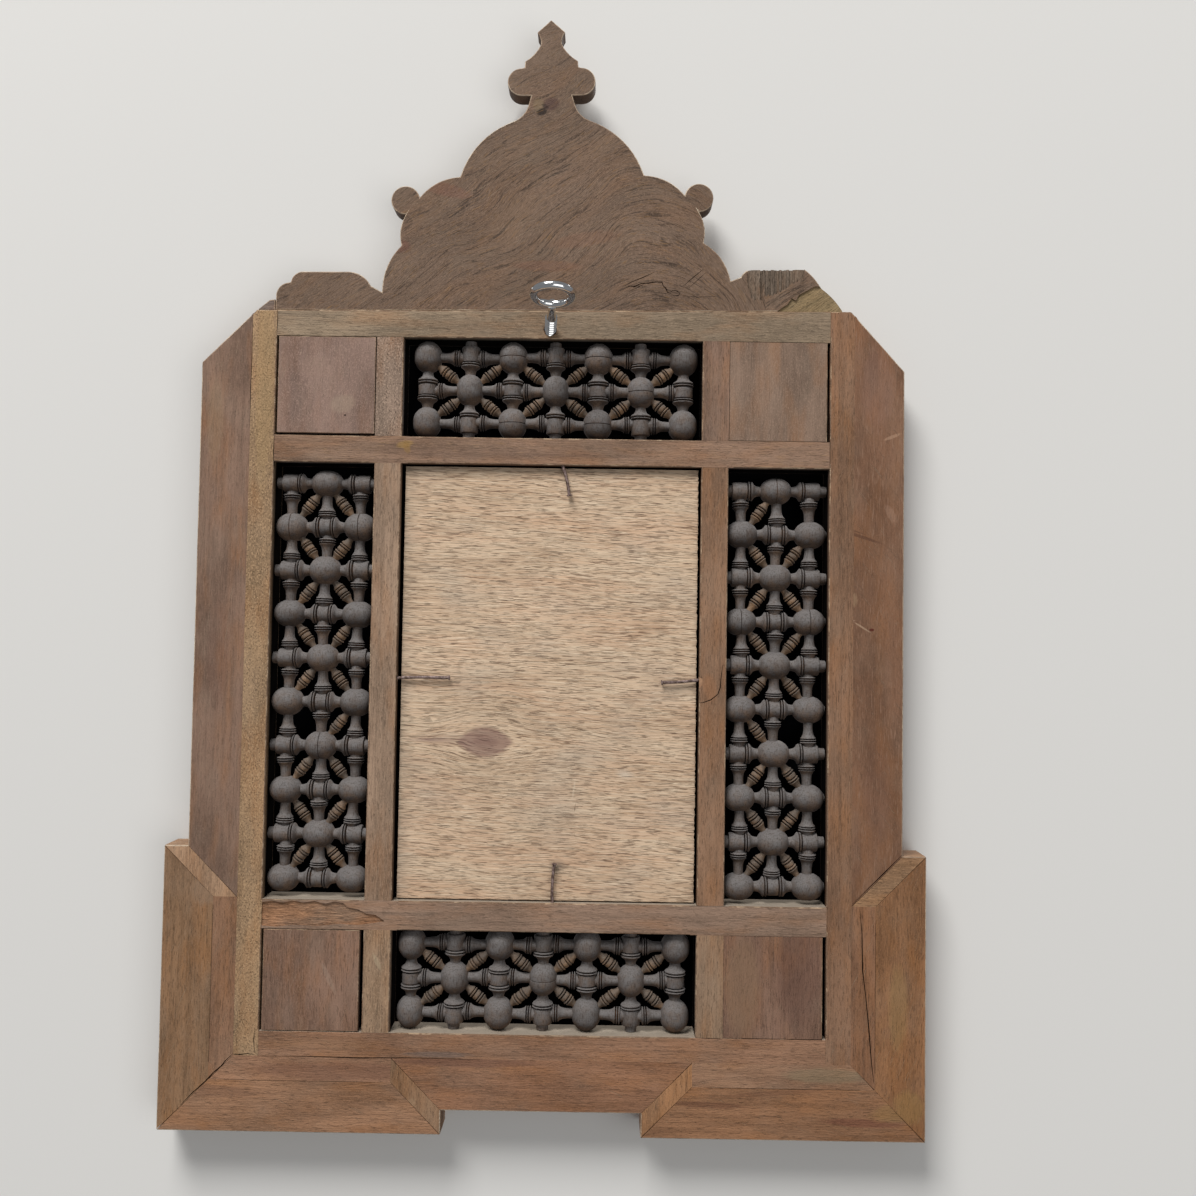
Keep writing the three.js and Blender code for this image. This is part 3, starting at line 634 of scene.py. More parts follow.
def softenedBoard(node, seed, seam=0.05, arris=0.45, waver=0.09, loose=False, arrisMaterial=softArris):
    # A copy of the sawn board: its free edges are eased and waver, its joints stay tight.
    low, high = (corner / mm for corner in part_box(node))
    size, centre = high - low, (low + high) / 2
    piece = copyOf(frame["nodes"][node], "worn_" + node)
    takeUp(piece)
    bpy.ops.mesh.customdata_custom_splitnormals_clear()
    editAll(piece)
    bpy.ops.mesh.remove_doubles(threshold=2e-6)
    bpy.ops.mesh.dissolve_limited(angle_limit=math.radians(1))
    bpy.ops.transform.resize(
        value=(1 - 2 * seam / size.x, 1, 1 - 2 * seam / size.z), center_override=centre * mm)
    longest = 0 if size.x > size.z else 2
    if pickEdges(piece, lambda a, b: abs((b - a)[longest]) > 14 * mm):
        bpy.ops.mesh.subdivide(number_cuts=max(2, min(28, int(size[longest] / 7))))
    bpy.ops.mesh.select_all(action="DESELECT")
    bpy.ops.mesh.edges_select_sharp(sharpness=math.radians(32))
    bpy.ops.object.mode_set(mode="OBJECT")
    weights = piece.data.attributes.new("bevel_weight_edge", "FLOAT", "EDGE")
    points = piece.data.vertices
    for edge in piece.data.edges:
        middle = (points[edge.vertices[0]].co + points[edge.vertices[1]].co) / 2
        edge.select = edge.select and (loose or not meetsNeighbour(node, middle))
        weights.data[edge.index].value = 1.0 if edge.select else 0.0
    bpy.ops.object.mode_set(mode="EDIT")
    bpy.ops.transform.vertex_random(offset=waver * mm, seed=seed)
    bpy.ops.object.mode_set(mode="OBJECT")
    piece.data.materials.clear()
    piece.data.materials.append(None)
    piece.data.materials.append(arrisMaterial)
    applyModifier(
        piece, "BEVEL", width=arris * mm, segments=2, limit_method="WEIGHT", use_clamp_overlap=False,
        material=1)
    applyModifier(
        piece, "BEVEL", width=0.04 * mm, segments=1, limit_method="ANGLE", angle_limit=math.radians(62))
    for face in piece.data.polygons:
        if face.center.y > (backPlane + 3) * mm:
            face.material_index = 0  # the front was handled less
    keepInBox(piece)
    return finishMesh(piece)


worn = {}
for number, (node, look) in enumerate(boards.items()):
    look = dict(look)
    slot = look.pop("slot")
    shape = {key: look.pop(key) for key in ("seam", "arris", "waver", "loose") if key in look}
    if slot in ("moulding", "crest"):
        shape = {"arrisMaterial": paleArrisAndHighlight, "waver": 0.04, **shape}
    piece = softenedBoard(node, number + 1, **{"seam": fit[slot], **shape})
    words = node.replace("_", " ")
    look.setdefault("shadeAndDirt", 1.0 if slot in shadedWallSlots else 0.0)
    piece.data.materials[0] = woodMaterial(f"Old oiled wood, {words}", seed=number + 1, **look)
    standFor(piece, slot, node)
    worn[node] = piece
print("frame boards eased and finished:", len(worn))


# Splits: path of (x, z), width and depth in mm, and the boards it runs through.
splits = [
    ([(-122.8, -308.4), (-123.1, -312.2), (-122.6, -317.9)], 0.5, 1.8, ("stile_left",)),
    ([(-122.4, -318.7), (-125.6, -318.3), (-128.8, -318.7), (-132.4, -318.5)], 0.5, 1.8,
     ("stile_left", "foot_filler_left")),
    ([(-132.0, -318.6), (-134.9, -321.4), (-136.6, -323.7), (-139.8, -326.3), (-143.1, -330.1),
      (-148.7, -335.2), (-153.6, -340.4)], 0.5, 1.8,
     ("foot_filler_left", "ear_filler_left", "ear_board_left", "foot_board_left")),
    ([(133.6, -253.5), (134.6, -264), (134.9, -279), (136.4, -291), (137.8, -304.5), (138.9, -318),
      (139.9, -326)], 0.5, 1.6, ("ear_filler_right",)),
    ([(74.2, -150.6), (73.6, -155.2), (73.2, -160.3), (72.2, -163.2), (69.3, -165.6), (66.3, -166.7),
      (64.3, -167)], 0.45, 1.2, ("muntin_middle_right",)),
]
for path, width, depth, nodes in splits:
    for node in nodes:
        cutCrack(worn[node], path, width, depth, backPlane + 0.1, darkSplit)
        finishMesh(worn[node])

# Joints that have opened: path of (x, z) and width in mm, and the boards on its two sides.
openJoints = [
    ([(-121.15, 3.0), (-121.0, -3.5), (-121.25, -10.2)], 0.5, ("stile_left", "rail_top")),
    ([(-121.15, -53.8), (-121.3, -61), (-121.1, -68.3)], 0.5, ("stile_left", "rail_upper")),
    ([(119.45, -41), (119.55, -55), (119.4, -68), (119.45, -78)], 0.3,
     ("stile_right", "side_moulding_right")),
    ([(-131.85, -4), (-131.75, -18), (-131.95, -34), (-131.85, -50)], 0.3,
     ("stile_left", "side_moulding_left")),
    ([(130.4, -251.5), (137.5, -244.3), (144.6, -237.3), (151.4, -230.4)], 0.45,
     ("side_moulding_right", "ear_return_right")),
    ([(-121.4, -319.2), (-100, -319.0), (-78, -319.3), (-55, -318.9), (-27, -319.2)], 0.45,
     ("rail_bottom", "foot_filler_left", "centre_board")),
    ([(64.4, -308.5), (70, -308.7), (75.6, -308.6)], 0.4, ("muntin_bottom_right", "rail_bottom")),
    ([(84, -308.7), (101, -308.5), (118, -308.7)], 0.4, ("rail_bottom", "corner_panel_bottom_right")),
]
jointDepth = 1.2  # mm
for path, width, nodes in openJoints:
    for node in nodes:
        cutCrack(worn[node], path, width, jointDepth, backPlane, darkSplit)
        finishMesh(worn[node])

# Torn places where the dark surface is gone: outline of (x, z) and depth in mm, and the raw wood's look.
tornPlaces = [
    ("rail_lower", [
        (-122, -254.6), (-117, -253.9), (-112, -254.6), (-108, -253.6), (-103.5, -254.5), (-99, -253.7),
        (-94, -254.9), (-90.5, -253.8), (-86.5, -254.4), (-84.5, -256.2), (-80.2, -256.9), (-76.5, -258.7),
        (-72.5, -259.2), (-68.6, -261.8), (-72, -262.4), (-80, -263.6), (-88, -263.2), (-97, -264.2),
        (-108, -263.9), (-115, -264.8), (-122, -264.3)], 0.8, {
            "base": "#906b50", "grain": "x", "relief": 0.5,
            "sizes": {"bands": (16, 1.6), "tone": (14, 5)},
            "steps": {"fibre": (0.55, 0.66, 2.2)},
            "amounts": {"warmth": 0.3, "pores": 0.6, "streaks": 0.7, "bands": 0.6, "dust": 0.3}}),
    ("muntin_middle_right", [
        (62, -155.6), (65.2, -155.9), (65.7, -157.2), (65.3, -159.4), (64.6, -160.6), (62, -160.9)], 0.35, {
            "base": "#96745a", "grain": "z", "amounts": {"pores": 0.3}}),
]
for node, outline, depth, look in tornPlaces:
    raw = woodMaterial("Raw wood where torn", seed=51, **look)
    carveOutline(worn[node], outline, backPlane + depth, raw)
    finishMesh(worn[node])
print("splits and torn places cut")


# Plywood backing board: pale rotary-cut veneer, fine dark pores across the width, one knot.
plywood = {
    "seam": 0.05,
    "ragged": 0.55,
    "knot": {"place": (-27.6, -185.4), "half": (12.4, 7.2), "tone": "#8a6d61", "parts": 2.6},
    "base": "#d4b99c",
    # each layer: along, across (mm), from and to noise values, tint, amount
    "layers": {
        "tone": (70, 12, 0.42, 0.62, "#b99c80", 0.5),
        "pink": (50, 10, 0.45, 0.65, "#d0a686", 0.4),
        "bands": (46, 1.6, 0.5, 0.66, "#ab8b6c", 0.3),
        "lines": (22, 0.3, 0.5, 0.62, "#9b7b61", 0.4),
        "ridges": (9, 0.26, 0.5, 0.62, "#e6d2b6", 0.5),
        "pores": (5.5, 0.25, 0.565, 0.645, "#644938", 0.75),
        "grey": (34, 22, 0.52, 0.72, "#b3a595", 0.3),
    },
    # darker along the edges, most at the top and left: axis, which end, reach in mm, amount
    "edges": [("X", 0, 9, 0.6), ("Z", 1, -9, 0.6), ("X", 1, -5, 0.3), ("Z", 0, 4, 0.35)],
    # stains: x, z, half width, half height, turn, from, to, colour, amount
    "stains": [
        (-43, -184.6, 26, 5.5, 0, 0.3, 0.95, "#8f7566", 0.6),
        (-52, -184.8, 14, 1.6, 0, 0.2, 0.9, "#76595a", 0.45),
        # painted shadow under the bottom nail's head
        (4.5, -238, 5, 4.5, 0, 0.15, 0.9, "#6e6358", 0.6),
        (9, -83, 5, 9, 0, 0.2, 1.0, "#8a7560", 0.4),
        (32.9, -198.2, 6, 3, -10, 0.2, 0.9, "#d6c9b8", 0.45),
        (11, -205, 0.7, 7, -8, 0.2, 0.8, "#dbc9ae", 0.5),
        (11.6, -213, 0.4, 3, -8, 0.2, 0.8, "#5a4636", 0.6)],
}


def knotMask(tree, place, grow, low, high):
    # a lens: pointed along the grain
    knot = plywood["knot"]
    (x, z), (halfWidth, halfHeight) = knot["place"], knot["half"]
    lens = addNode(tree, "ShaderNodeMapping", {
        "Vector": place, "Location": Vector((x, 33, z)) * mm,
        "Scale": Vector((halfWidth * grow, 40, halfHeight * grow)) * mm}, vector_type="TEXTURE")
    parts = addNode(tree, "ShaderNodeSeparateXYZ", {0: lens.outputs[0]})
    squared = addNode(tree, "ShaderNodeMath", {
        0: parts.outputs["X"], 1: parts.outputs["X"]}, operation="MULTIPLY")
    height = addNode(tree, "ShaderNodeMath", {0: parts.outputs["Z"]}, operation="ABSOLUTE")
    away = addNode(tree, "ShaderNodeMath", {0: squared.outputs[0], 1: height.outputs[0]}, operation="ADD")
    return addNode(tree, "ShaderNodeMapRange", {
        "Value": away.outputs[0], "From Min": high, "From Max": low},
        interpolation_type="SMOOTHSTEP").outputs[0]


def plywoodMaterial():
    # sanded thin and never sealed: matt, with a fuzzy torn grain
    material, tree = newMaterial("Unsealed plywood veneer")
    place = addNode(tree, "ShaderNodeTexCoord").outputs["Object"]
    knot = plywood["knot"]
    x, z = knot["place"]
    # the grain parts round the knot
    near = knotMask(tree, place, knot["parts"], 0.0, 1.0)
    pull = addNode(tree, "ShaderNodeMapRange", {"Value": near, "To Min": 1.0, "To Max": 0.3})
    relative = addNode(tree, "ShaderNodeVectorMath", {
        0: place, 1: Vector((x, 0, z)) * mm}, operation="SUBTRACT")
    apart = addNode(tree, "ShaderNodeSeparateXYZ", {0: relative.outputs[0]})
    across = addNode(tree, "ShaderNodeMath", {
        0: apart.outputs["Z"], 1: pull.outputs[0]}, operation="MULTIPLY")
    parted = addNode(tree, "ShaderNodeCombineXYZ", {
        0: apart.outputs["X"], 1: apart.outputs["Y"], 2: across.outputs[0]})
    stray = addNode(tree, "ShaderNodeMapping", {
        "Vector": place, "Scale": Vector((40, 30, 16)) * mm}, vector_type="TEXTURE")
    strayNoise = addNode(tree, "ShaderNodeTexNoise", {"Vector": stray.outputs[0], "Scale": 1, "Detail": 1})
    bent = addNode(tree, "ShaderNodeVectorMath", {
        0: strayNoise.outputs["Color"], 1: Vector((0, 0, 3.5)) * mm, 2: parted.outputs[0]},
        operation="MULTIPLY_ADD")
    masks = {}
    shade = colour(plywood["base"])
    for layer, (length, width, low, high, tint, amount) in plywood["layers"].items():
        mapping = addNode(tree, "ShaderNodeMapping", {
            "Vector": bent.outputs[0], "Location": Vector((0.13, 0.31, 0.17)) * (len(masks) + 1),
            "Rotation": (0, math.radians(2), 0), "Scale": Vector((length, 8, width)) * mm},
            vector_type="TEXTURE")
        noise = addNode(tree, "ShaderNodeTexNoise", {
            "Vector": mapping.outputs[0], "Scale": 1, "Detail": 1.5, "Roughness": 0.6})
        masks[layer] = addNode(tree, "ShaderNodeMapRange", {
            "Value": noise.outputs["Fac"], "From Min": low, "From Max": high, "To Max": amount}).outputs[0]
        shade = addNode(tree, "ShaderNodeMix", {
            0: masks[layer], 6: shade, 7: colour(tint)}, data_type="RGBA").outputs[2]
    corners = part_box("backing_board")
    whole = addNode(tree, "ShaderNodeSeparateXYZ", {0: place})
    for axis, end, reach, amount in plywood["edges"]:
        edge = getattr(corners[end], axis.lower())
        mask = addNode(tree, "ShaderNodeMapRange", {
            "Value": whole.outputs[axis], "From Min": edge, "From Max": edge + reach * mm,
            "To Min": amount, "To Max": 0.0})
        broken = addNode(tree, "ShaderNodeMath", {
            0: masks["bands"], 1: 1.2, 2: mask.outputs[0]}, operation="MULTIPLY_ADD")
        kept = addNode(tree, "ShaderNodeMath", {
            0: broken.outputs[0], 1: mask.outputs[0]}, operation="MULTIPLY", use_clamp=True)
        shade = addNode(tree, "ShaderNodeMix", {
            0: kept.outputs[0], 6: shade, 7: colour("#85796a")}, data_type="RGBA").outputs[2]
    for *oval, low, high, tint, amount in plywood["stains"]:
        mask = stainMask(tree, place, *oval, low, high, amount)
        shade = addNode(tree, "ShaderNodeMix", {
            0: mask, 6: shade, 7: colour(tint)}, data_type="RGBA").outputs[2]
    inside = addNode(tree, "ShaderNodeMath", {
        0: knotMask(tree, place, 1.0, 0.7, 1.15), 1: 0.8}, operation="MULTIPLY").outputs[0]
    shade = addNode(tree, "ShaderNodeMix", {
        0: inside, 6: shade, 7: colour(knot["tone"])}, data_type="RGBA").outputs[2]
    heart = addNode(tree, "ShaderNodeMath", {
        0: knotMask(tree, place, 0.6, 0.2, 1.0), 1: 0.45}, operation="MULTIPLY")
    shade = addNode(tree, "ShaderNodeMix", {
        0: heart.outputs[0], 6: shade, 7: colour("#74574f")}, data_type="RGBA").outputs[2]
    height = addNode(tree, "ShaderNodeMath", {
        0: masks["pores"], 1: -1.5, 2: masks["ridges"]}, operation="MULTIPLY_ADD")
    bump = addNode(tree, "ShaderNodeBump", {
        "Height": height.outputs[0], "Strength": 0.8, "Distance": 0.2 * mm})
    shader = addNode(tree, "ShaderNodeBsdfPrincipled", {
        "Base Color": shade, "Roughness": 0.8, "IOR": 1.45, "Specular IOR Level": 0.15,
        "Normal": bump.outputs[0]})
    addNode(tree, "ShaderNodeOutputMaterial", {"Surface": shader.outputs[0]})
    return material


def addBackingBoard():
    board = softenedBoard("backing_board", 61, seam=plywood["seam"], arris=0.15, waver=0.05, loose=True)
    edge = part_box("backing_board")[1].x - 0.5 * mm
    pickEdges(board, lambda a, b: a.x > edge and b.x > edge and abs((a - b).z) > 2 * mm)
    bpy.ops.mesh.subdivide(number_cuts=7)
    bpy.ops.object.mode_set(mode="OBJECT")
    dice = random.Random(5)
    for point in board.data.vertices:
        if point.co.x > edge:
            point.co.x -= dice.uniform(0, plywood["ragged"]) * mm
    finishMesh(board)
    board.name = "plywood_back"
    board.data.materials[0] = plywoodMaterial()
    board.data.materials[1] = woodMaterial("Plywood edge", "#9c8268", amounts={"pores": 0.6})
    standFor(board, "plywood", "backing_board")


addBackingBoard()
print("backing board made")


# Rusty nails, hammered in and bent over the board: start, end and the middle's sag, mm.
nailSet = {
    "left": {"from": (-66.0, 31.9, -158.3), "to": (-43.0, 31.5, -157.9), "sag": (0, -0.25, 0.25)},
    "right": {"from": (65.5, 31.9, -157.0), "to": (47.9, 31.5, -158.6), "sag": (0, -0.3, -0.3)},
    "top": {"from": (3.6, 31.9, -64.4), "to": (7.2, 31.4, -78.6), "sag": (0.5, -0.3, 0)},
    "bottom": {"from": (2.6, 31.9, -254.2), "to": (3.2, 31.5, -236.4), "sag": (-0.4, -0.3, 0)},
}
nailLook = {"radius": 0.66, "head": 1.1, "sides": 14, "rings": 9}


def rustMaterial():
    # drawn iron wire under a skin of brown rust, bare metal where it was struck
    material, tree = newMaterial("Rusty iron wire nail")
    place = addNode(tree, "ShaderNodeTexCoord").outputs["Object"]
    size = addNode(tree, "ShaderNodeMapping", {
        "Vector": place, "Scale": Vector((1, 1, 1)) * 1.3 * mm}, vector_type="TEXTURE")
    flake = addNode(tree, "ShaderNodeTexNoise", {"Vector": size.outputs[0], "Scale": 1, "Detail": 4})
    skin = addNode(tree, "ShaderNodeMapRange", {
        "Value": flake.outputs["Fac"], "From Min": 0.42, "From Max": 0.6})
    tint = addNode(tree, "ShaderNodeMix", {
        0: skin.outputs[0], 6: colour("#4a352b"), 7: colour("#85716b")}, data_type="RGBA")
    bare = addNode(tree, "ShaderNodeMapRange", {
        "Value": flake.outputs["Fac"], "From Min": 0.5, "From Max": 0.7, "To Max": 0.4})
    rough = addNode(tree, "ShaderNodeMapRange", {
        "Value": flake.outputs["Fac"], "To Min": 0.75, "To Max": 0.4})
    bump = addNode(tree, "ShaderNodeBump", {
        "Height": flake.outputs["Fac"], "Strength": 0.6, "Distance": 0.14 * mm})
    shader = addNode(tree, "ShaderNodeBsdfPrincipled", {
        "Base Color": tint.outputs[2], "Metallic": bare.outputs[0], "Roughness": rough.outputs[0],
        "Normal": bump.outputs[0]})
    addNode(tree, "ShaderNodeOutputMaterial", {"Surface": shader.outputs[0]})
    return material


def addNails():
    rust = rustMaterial()
    for word, look in nailSet.items():
        start, end = Vector(look["from"]), Vector(look["to"])
        run = end - start
        turn = run.to_track_quat("Z", "Y").to_matrix().to_4x4()
        sag = turn.inverted() @ Vector(look["sag"])
        rings = []
        for i in range(nailLook["rings"]):
            t = i / (nailLook["rings"] - 1)
            bow = 4 * t * (1 - t)
            radius = nailLook["radius"] * (1 + 0.05 * math.sin(9 * t))
            rings.append((radius, t * (run.length - 0.7), sag.x * bow, sag.y * bow))
        head = nailLook["head"]
        rings += [(head, run.length - 0.6), (head, run.length - 0.1), (head * 0.8, run.length)]
        nail = turnRings("nail_worn_" + word, rings, nailLook["sides"])
        nail.data.transform(Matrix.Translation(start * mm) @ turn)
        nail.data.materials.append(rust)
        standFor(nail, "rusty_nail", "nail_" + word)


addNails()
print("nails made")


# Screw eye: a bent ring on a shank with a coarse wood thread, bright plated steel.
screwEye = {
    "ring": 8.0, "wire": 1.7, "neck": 1.62,  # radii, mm
    "core": 2.05, "thread": 2.58, "pitch": 1.9, "turns": 10, "threadTop": 18.3,
    "lean": 11.5, "turn": 4.1,  # degrees
}


def chromeMaterial():
    # plated and barely tarnished: near mirror, with a few soft scuffs
    material, tree = newMaterial("Chrome plated steel")
    place = addNode(tree, "ShaderNodeTexCoord").outputs["Object"]
    size = addNode(tree, "ShaderNodeMapping", {
        "Vector": place, "Scale": Vector((3, 3, 1.2)) * mm}, vector_type="TEXTURE")
    scuff = addNode(tree, "ShaderNodeTexNoise", {"Vector": size.outputs[0], "Scale": 1, "Detail": 3})
    tint = addNode(tree, "ShaderNodeMix", {
        0: scuff.outputs["Fac"], 6: colour("#cfcfce"), 7: colour("#f2f3f3")}, data_type="RGBA")
    rough = addNode(tree, "ShaderNodeMapRange", {
        "Value": scuff.outputs["Fac"], "From Min": 0.4, "From Max": 0.7, "To Min": 0.09, "To Max": 0.2})
    bump = addNode(tree, "ShaderNodeBump", {
        "Height": scuff.outputs["Fac"], "Strength": 0.25, "Distance": 0.05 * mm})
    shader = addNode(tree, "ShaderNodeBsdfPrincipled", {
        "Base Color": tint.outputs[2], "Metallic": 1.0, "Roughness": rough.outputs[0],
        "Normal": bump.outputs[0]})
    addNode(tree, "ShaderNodeOutputMaterial", {"Surface": shader.outputs[0]})
    return material


def addScrewEye():
    eye = screwEye
    deselectAll()
    bpy.ops.mesh.primitive_torus_add(
        major_radius=eye["ring"] * mm, minor_radius=eye["wire"] * mm, major_segments=72, minor_segments=24,
        rotation=(math.pi / 2, 0, 0))
    ring = bpy.context.object
    applyPlace(ring)
    # the shank is turned upwards, then laid over to run down from the ring
    rings = [
        (2.3, 7.9), (1.95, 9.2), (eye["neck"], 11), (eye["neck"], 16.8), (eye["core"], 18.0),
        (eye["core"], 34.6), (1.3, 37.4), (0.5, 38.2)]
    shank = turnRings("shank", rings, 24)
    shank.data.transform(Matrix.Rotation(math.pi, 4, "X"))
    # thread: one tooth, wound down the core
    deselectAll()
    bpy.ops.mesh.primitive_plane_add(
        size=1 * mm, location=(eye["core"] * mm, 0, 0), rotation=(math.pi / 2, 0, 0))
    tooth = bpy.context.object
    applyPlace(tooth)
    editAll(tooth)
    bpy.ops.mesh.delete(type="ONLY_FACE")
    bpy.ops.object.mode_set(mode="OBJECT")
    inner, outer, half = eye["core"] - 0.35, eye["thread"], eye["pitch"] / 2
    corners = sorted(tooth.data.vertices, key=lambda v: (v.co.x, v.co.z))
    for vertex, (x, z) in zip(
            corners, [(inner, -half * 0.7), (inner, half * 0.7), (outer, -0.12), (outer, 0.12)]):
        vertex.co = Vector((x, 0, z)) * mm
    applyModifier(
        tooth, "SCREW", axis="Z", screw_offset=-eye["pitch"] * mm, iterations=eye["turns"] - 1,
        steps=28, render_steps=28, use_merge_vertices=True)
    tooth.data.transform(Matrix.Translation((0, 0, -(eye["threadTop"] + 1.2) * mm)))
    editAll(tooth, "DESELECT")
    bpy.ops.mesh.select_non_manifold()
    bpy.ops.mesh.edge_face_add()
    screw = joinPieces([ring, shank, tooth], "screw_eye")
    finishMesh(screw, 40)
    laid = Matrix.Rotation(math.pi / 2 - math.radians(eye["lean"]), 4, "X")
    screw.data.transform(laid @ Matrix.Rotation(math.radians(eye["turn"]), 4, "Y"))
    screw.data.materials.clear()
    screw.data.materials.append(chromeMaterial())
    standFor(screw, "chrome", "hanging_eye")


addScrewEye()
print("screw eye made")


# Turned lattice. Profiles are (radius, along) in mm, grooves are where the tool cut in.
turning = {
    "depth": 37.9, "rodSides": 20, "pegSides": 14, "slantSides": 12,
    "wobble": 0.28,  # hand work: each peg sits this far off, mm
    "lean": 1.8,  # and leans this much, degrees
    "swell": 0.04,  # and is this much thicker or thinner
    "marked": 0.4,  # share of rods whose balls are scored
    "panels": {
        # rods, whether rod 0 starts with a ball, pitch of rods and of nodes, shift of rods and of nodes
        "top": {
            "rods": 7, "ballFirst": True, "rodPitch": 18.75, "nodePitch": 14.6, "shift": 0.9,
            "nodeShift": 0.2, "lost": []},
        "bottom": {
            "rods": 7, "ballFirst": True, "rodPitch": 18.95, "nodePitch": 14.6, "shift": -0.3,
            "nodeShift": -0.1, "lost": []},
        "left": {
            "rods": 10, "ballFirst": False, "rodPitch": 19.05, "nodePitch": 14.9, "shift": 0,
            "nodeShift": 0, "lost": [(5, -1)]},
        "right": {
            "rods": 10, "ballFirst": False, "rodPitch": 19.05, "nodePitch": 14.9, "shift": 0,
            "nodeShift": -0.3, "lost": [(0, 1), (5, 1)]},
    },
}
ballHalf = [
    (6.1, 0), (6.1, 0.5), (6.06, 1.5), (5.85, 2.7), (5.3, 3.9), (4.45, 5.1), (3.5, 5.95), (2.6, 6.45),
    (2.2, 6.7)]
scored = [(6.1, 0.2), (5.85, 0.08)]  # some balls keep the line that was cut round them to mark them out
# From a barrel's middle outwards: plain barrel, ring, bell, then a hollow neck.
barrelSide = [
    (4.0, 0), (4.1, 1.2), (3.95, 2.2), (3.2, 2.35), (3.1, 2.7), (4.35, 2.85), (4.55, 3.1), (4.35, 3.35),
    (3.2, 3.5), (3.2, 3.8), (4.4, 3.95), (4.5, 4.25), (4.15, 4.7), (3.2, 5.3), (2.6, 6.0), (2.3, 7.0),
    (2.2, 7.8)]
barrelGrooves = [2.525, 3.65]
# Peg from a ball's middle to the next rod: neck, flare, two rings, short tongue.
pegProfile = [
    (2.1, 4.5), (2.1, 7.6), (2.2, 9.0), (2.4, 10.2), (2.85, 11.2), (3.45, 11.8), (3.5, 12.0), (2.6, 12.2),
    (2.6, 12.5), (3.55, 12.65), (3.7, 12.85), (3.55, 13.0), (2.6, 13.15), (2.6, 13.45), (3.6, 13.6),
    (3.75, 13.85), (3.5, 14.15), (2.6, 14.4), (2.2, 16.4)]
pegGrooves = [12.35, 13.3]
# Slanting peg, ball to ball: cone, ring, bead, ring, cone.
slantHalf = [
    (2.25, 0), (2.3, 0.5), (2.15, 0.8), (1.5, 0.95), (1.5, 1.25), (2.35, 1.4), (2.55, 1.7), (2.35, 2.0),
    (1.5, 2.15), (1.5, 2.45), (2.3, 2.6), (2.35, 2.9), (1.8, 3.7), (1.4, 4.6), (1.25, 5.6), (1.4, 7.4)]
slantGrooves = [1.1, 2.3]


def mirroredAlong(profile):
    return [(radius, -along) for radius, along in profile[::-1]]


def shifted(profile, by):
    return [(radius, along + by) for radius, along in profile]


def rodProfile(ballAtEnds, panel, half, marked):
    # one rod between its two ends, its three nodes shifted along it
    pitch, shift = panel["nodePitch"], panel["nodeShift"]
    if marked:
        ball = mirroredAlong(scored[::-1] + ballHalf[1:]) + scored[::-1] + ballHalf[1:]
    else:
        ball = mirroredAlong(ballHalf)[:-1] + ballHalf
    barrel = mirroredAlong(barrelSide)[:-1] + barrelSide
    if ballAtEnds:
        nodes = shifted(ball, -pitch) + barrel + shifted(ball, pitch)
        ends = [(1.9, -half + 0.1 - shift)], [(1.9, half - 0.1 - shift)]
    else:
        end = [(4.22, 1.2), (4.15, half - pitch - 3.1), (3.9, half - pitch - 2.75), (2.7, half - pitch - 2.5)]
        inner = shifted(mirroredAlong(barrelSide)[:-1], pitch)
        nodes = mirroredAlong(inner + shifted(end, pitch)) + ball + inner + shifted(end, pitch)
        ends = [(2.5, -half + 0.1 - shift)], [(2.5, half - 0.1 - shift)]
    whole = shifted(ends[0] + nodes + ends[1], shift)
    cuts = [node * pitch + shift for node in ((-1, 1) if ballAtEnds else (0,))] if marked else []
    for node in ((0,) if ballAtEnds else (-1, 1)):
        cuts += [
            node * pitch + shift + side * groove
            for side in (-1, 1) for groove in barrelGrooves if ballAtEnds or side != node]
    return whole, cuts


# Patterns of the turned wood: sizes along x, y and z in mm, and the noise's detail.
turnedLayers = {
    "mottle": (4, 4, 4, 3), "fibre": (0.4, 0.4, 2.2, 2), "across": (2.2, 0.4, 0.4, 2),
    "grain": (0.5, 0.5, 0.5, 2)}


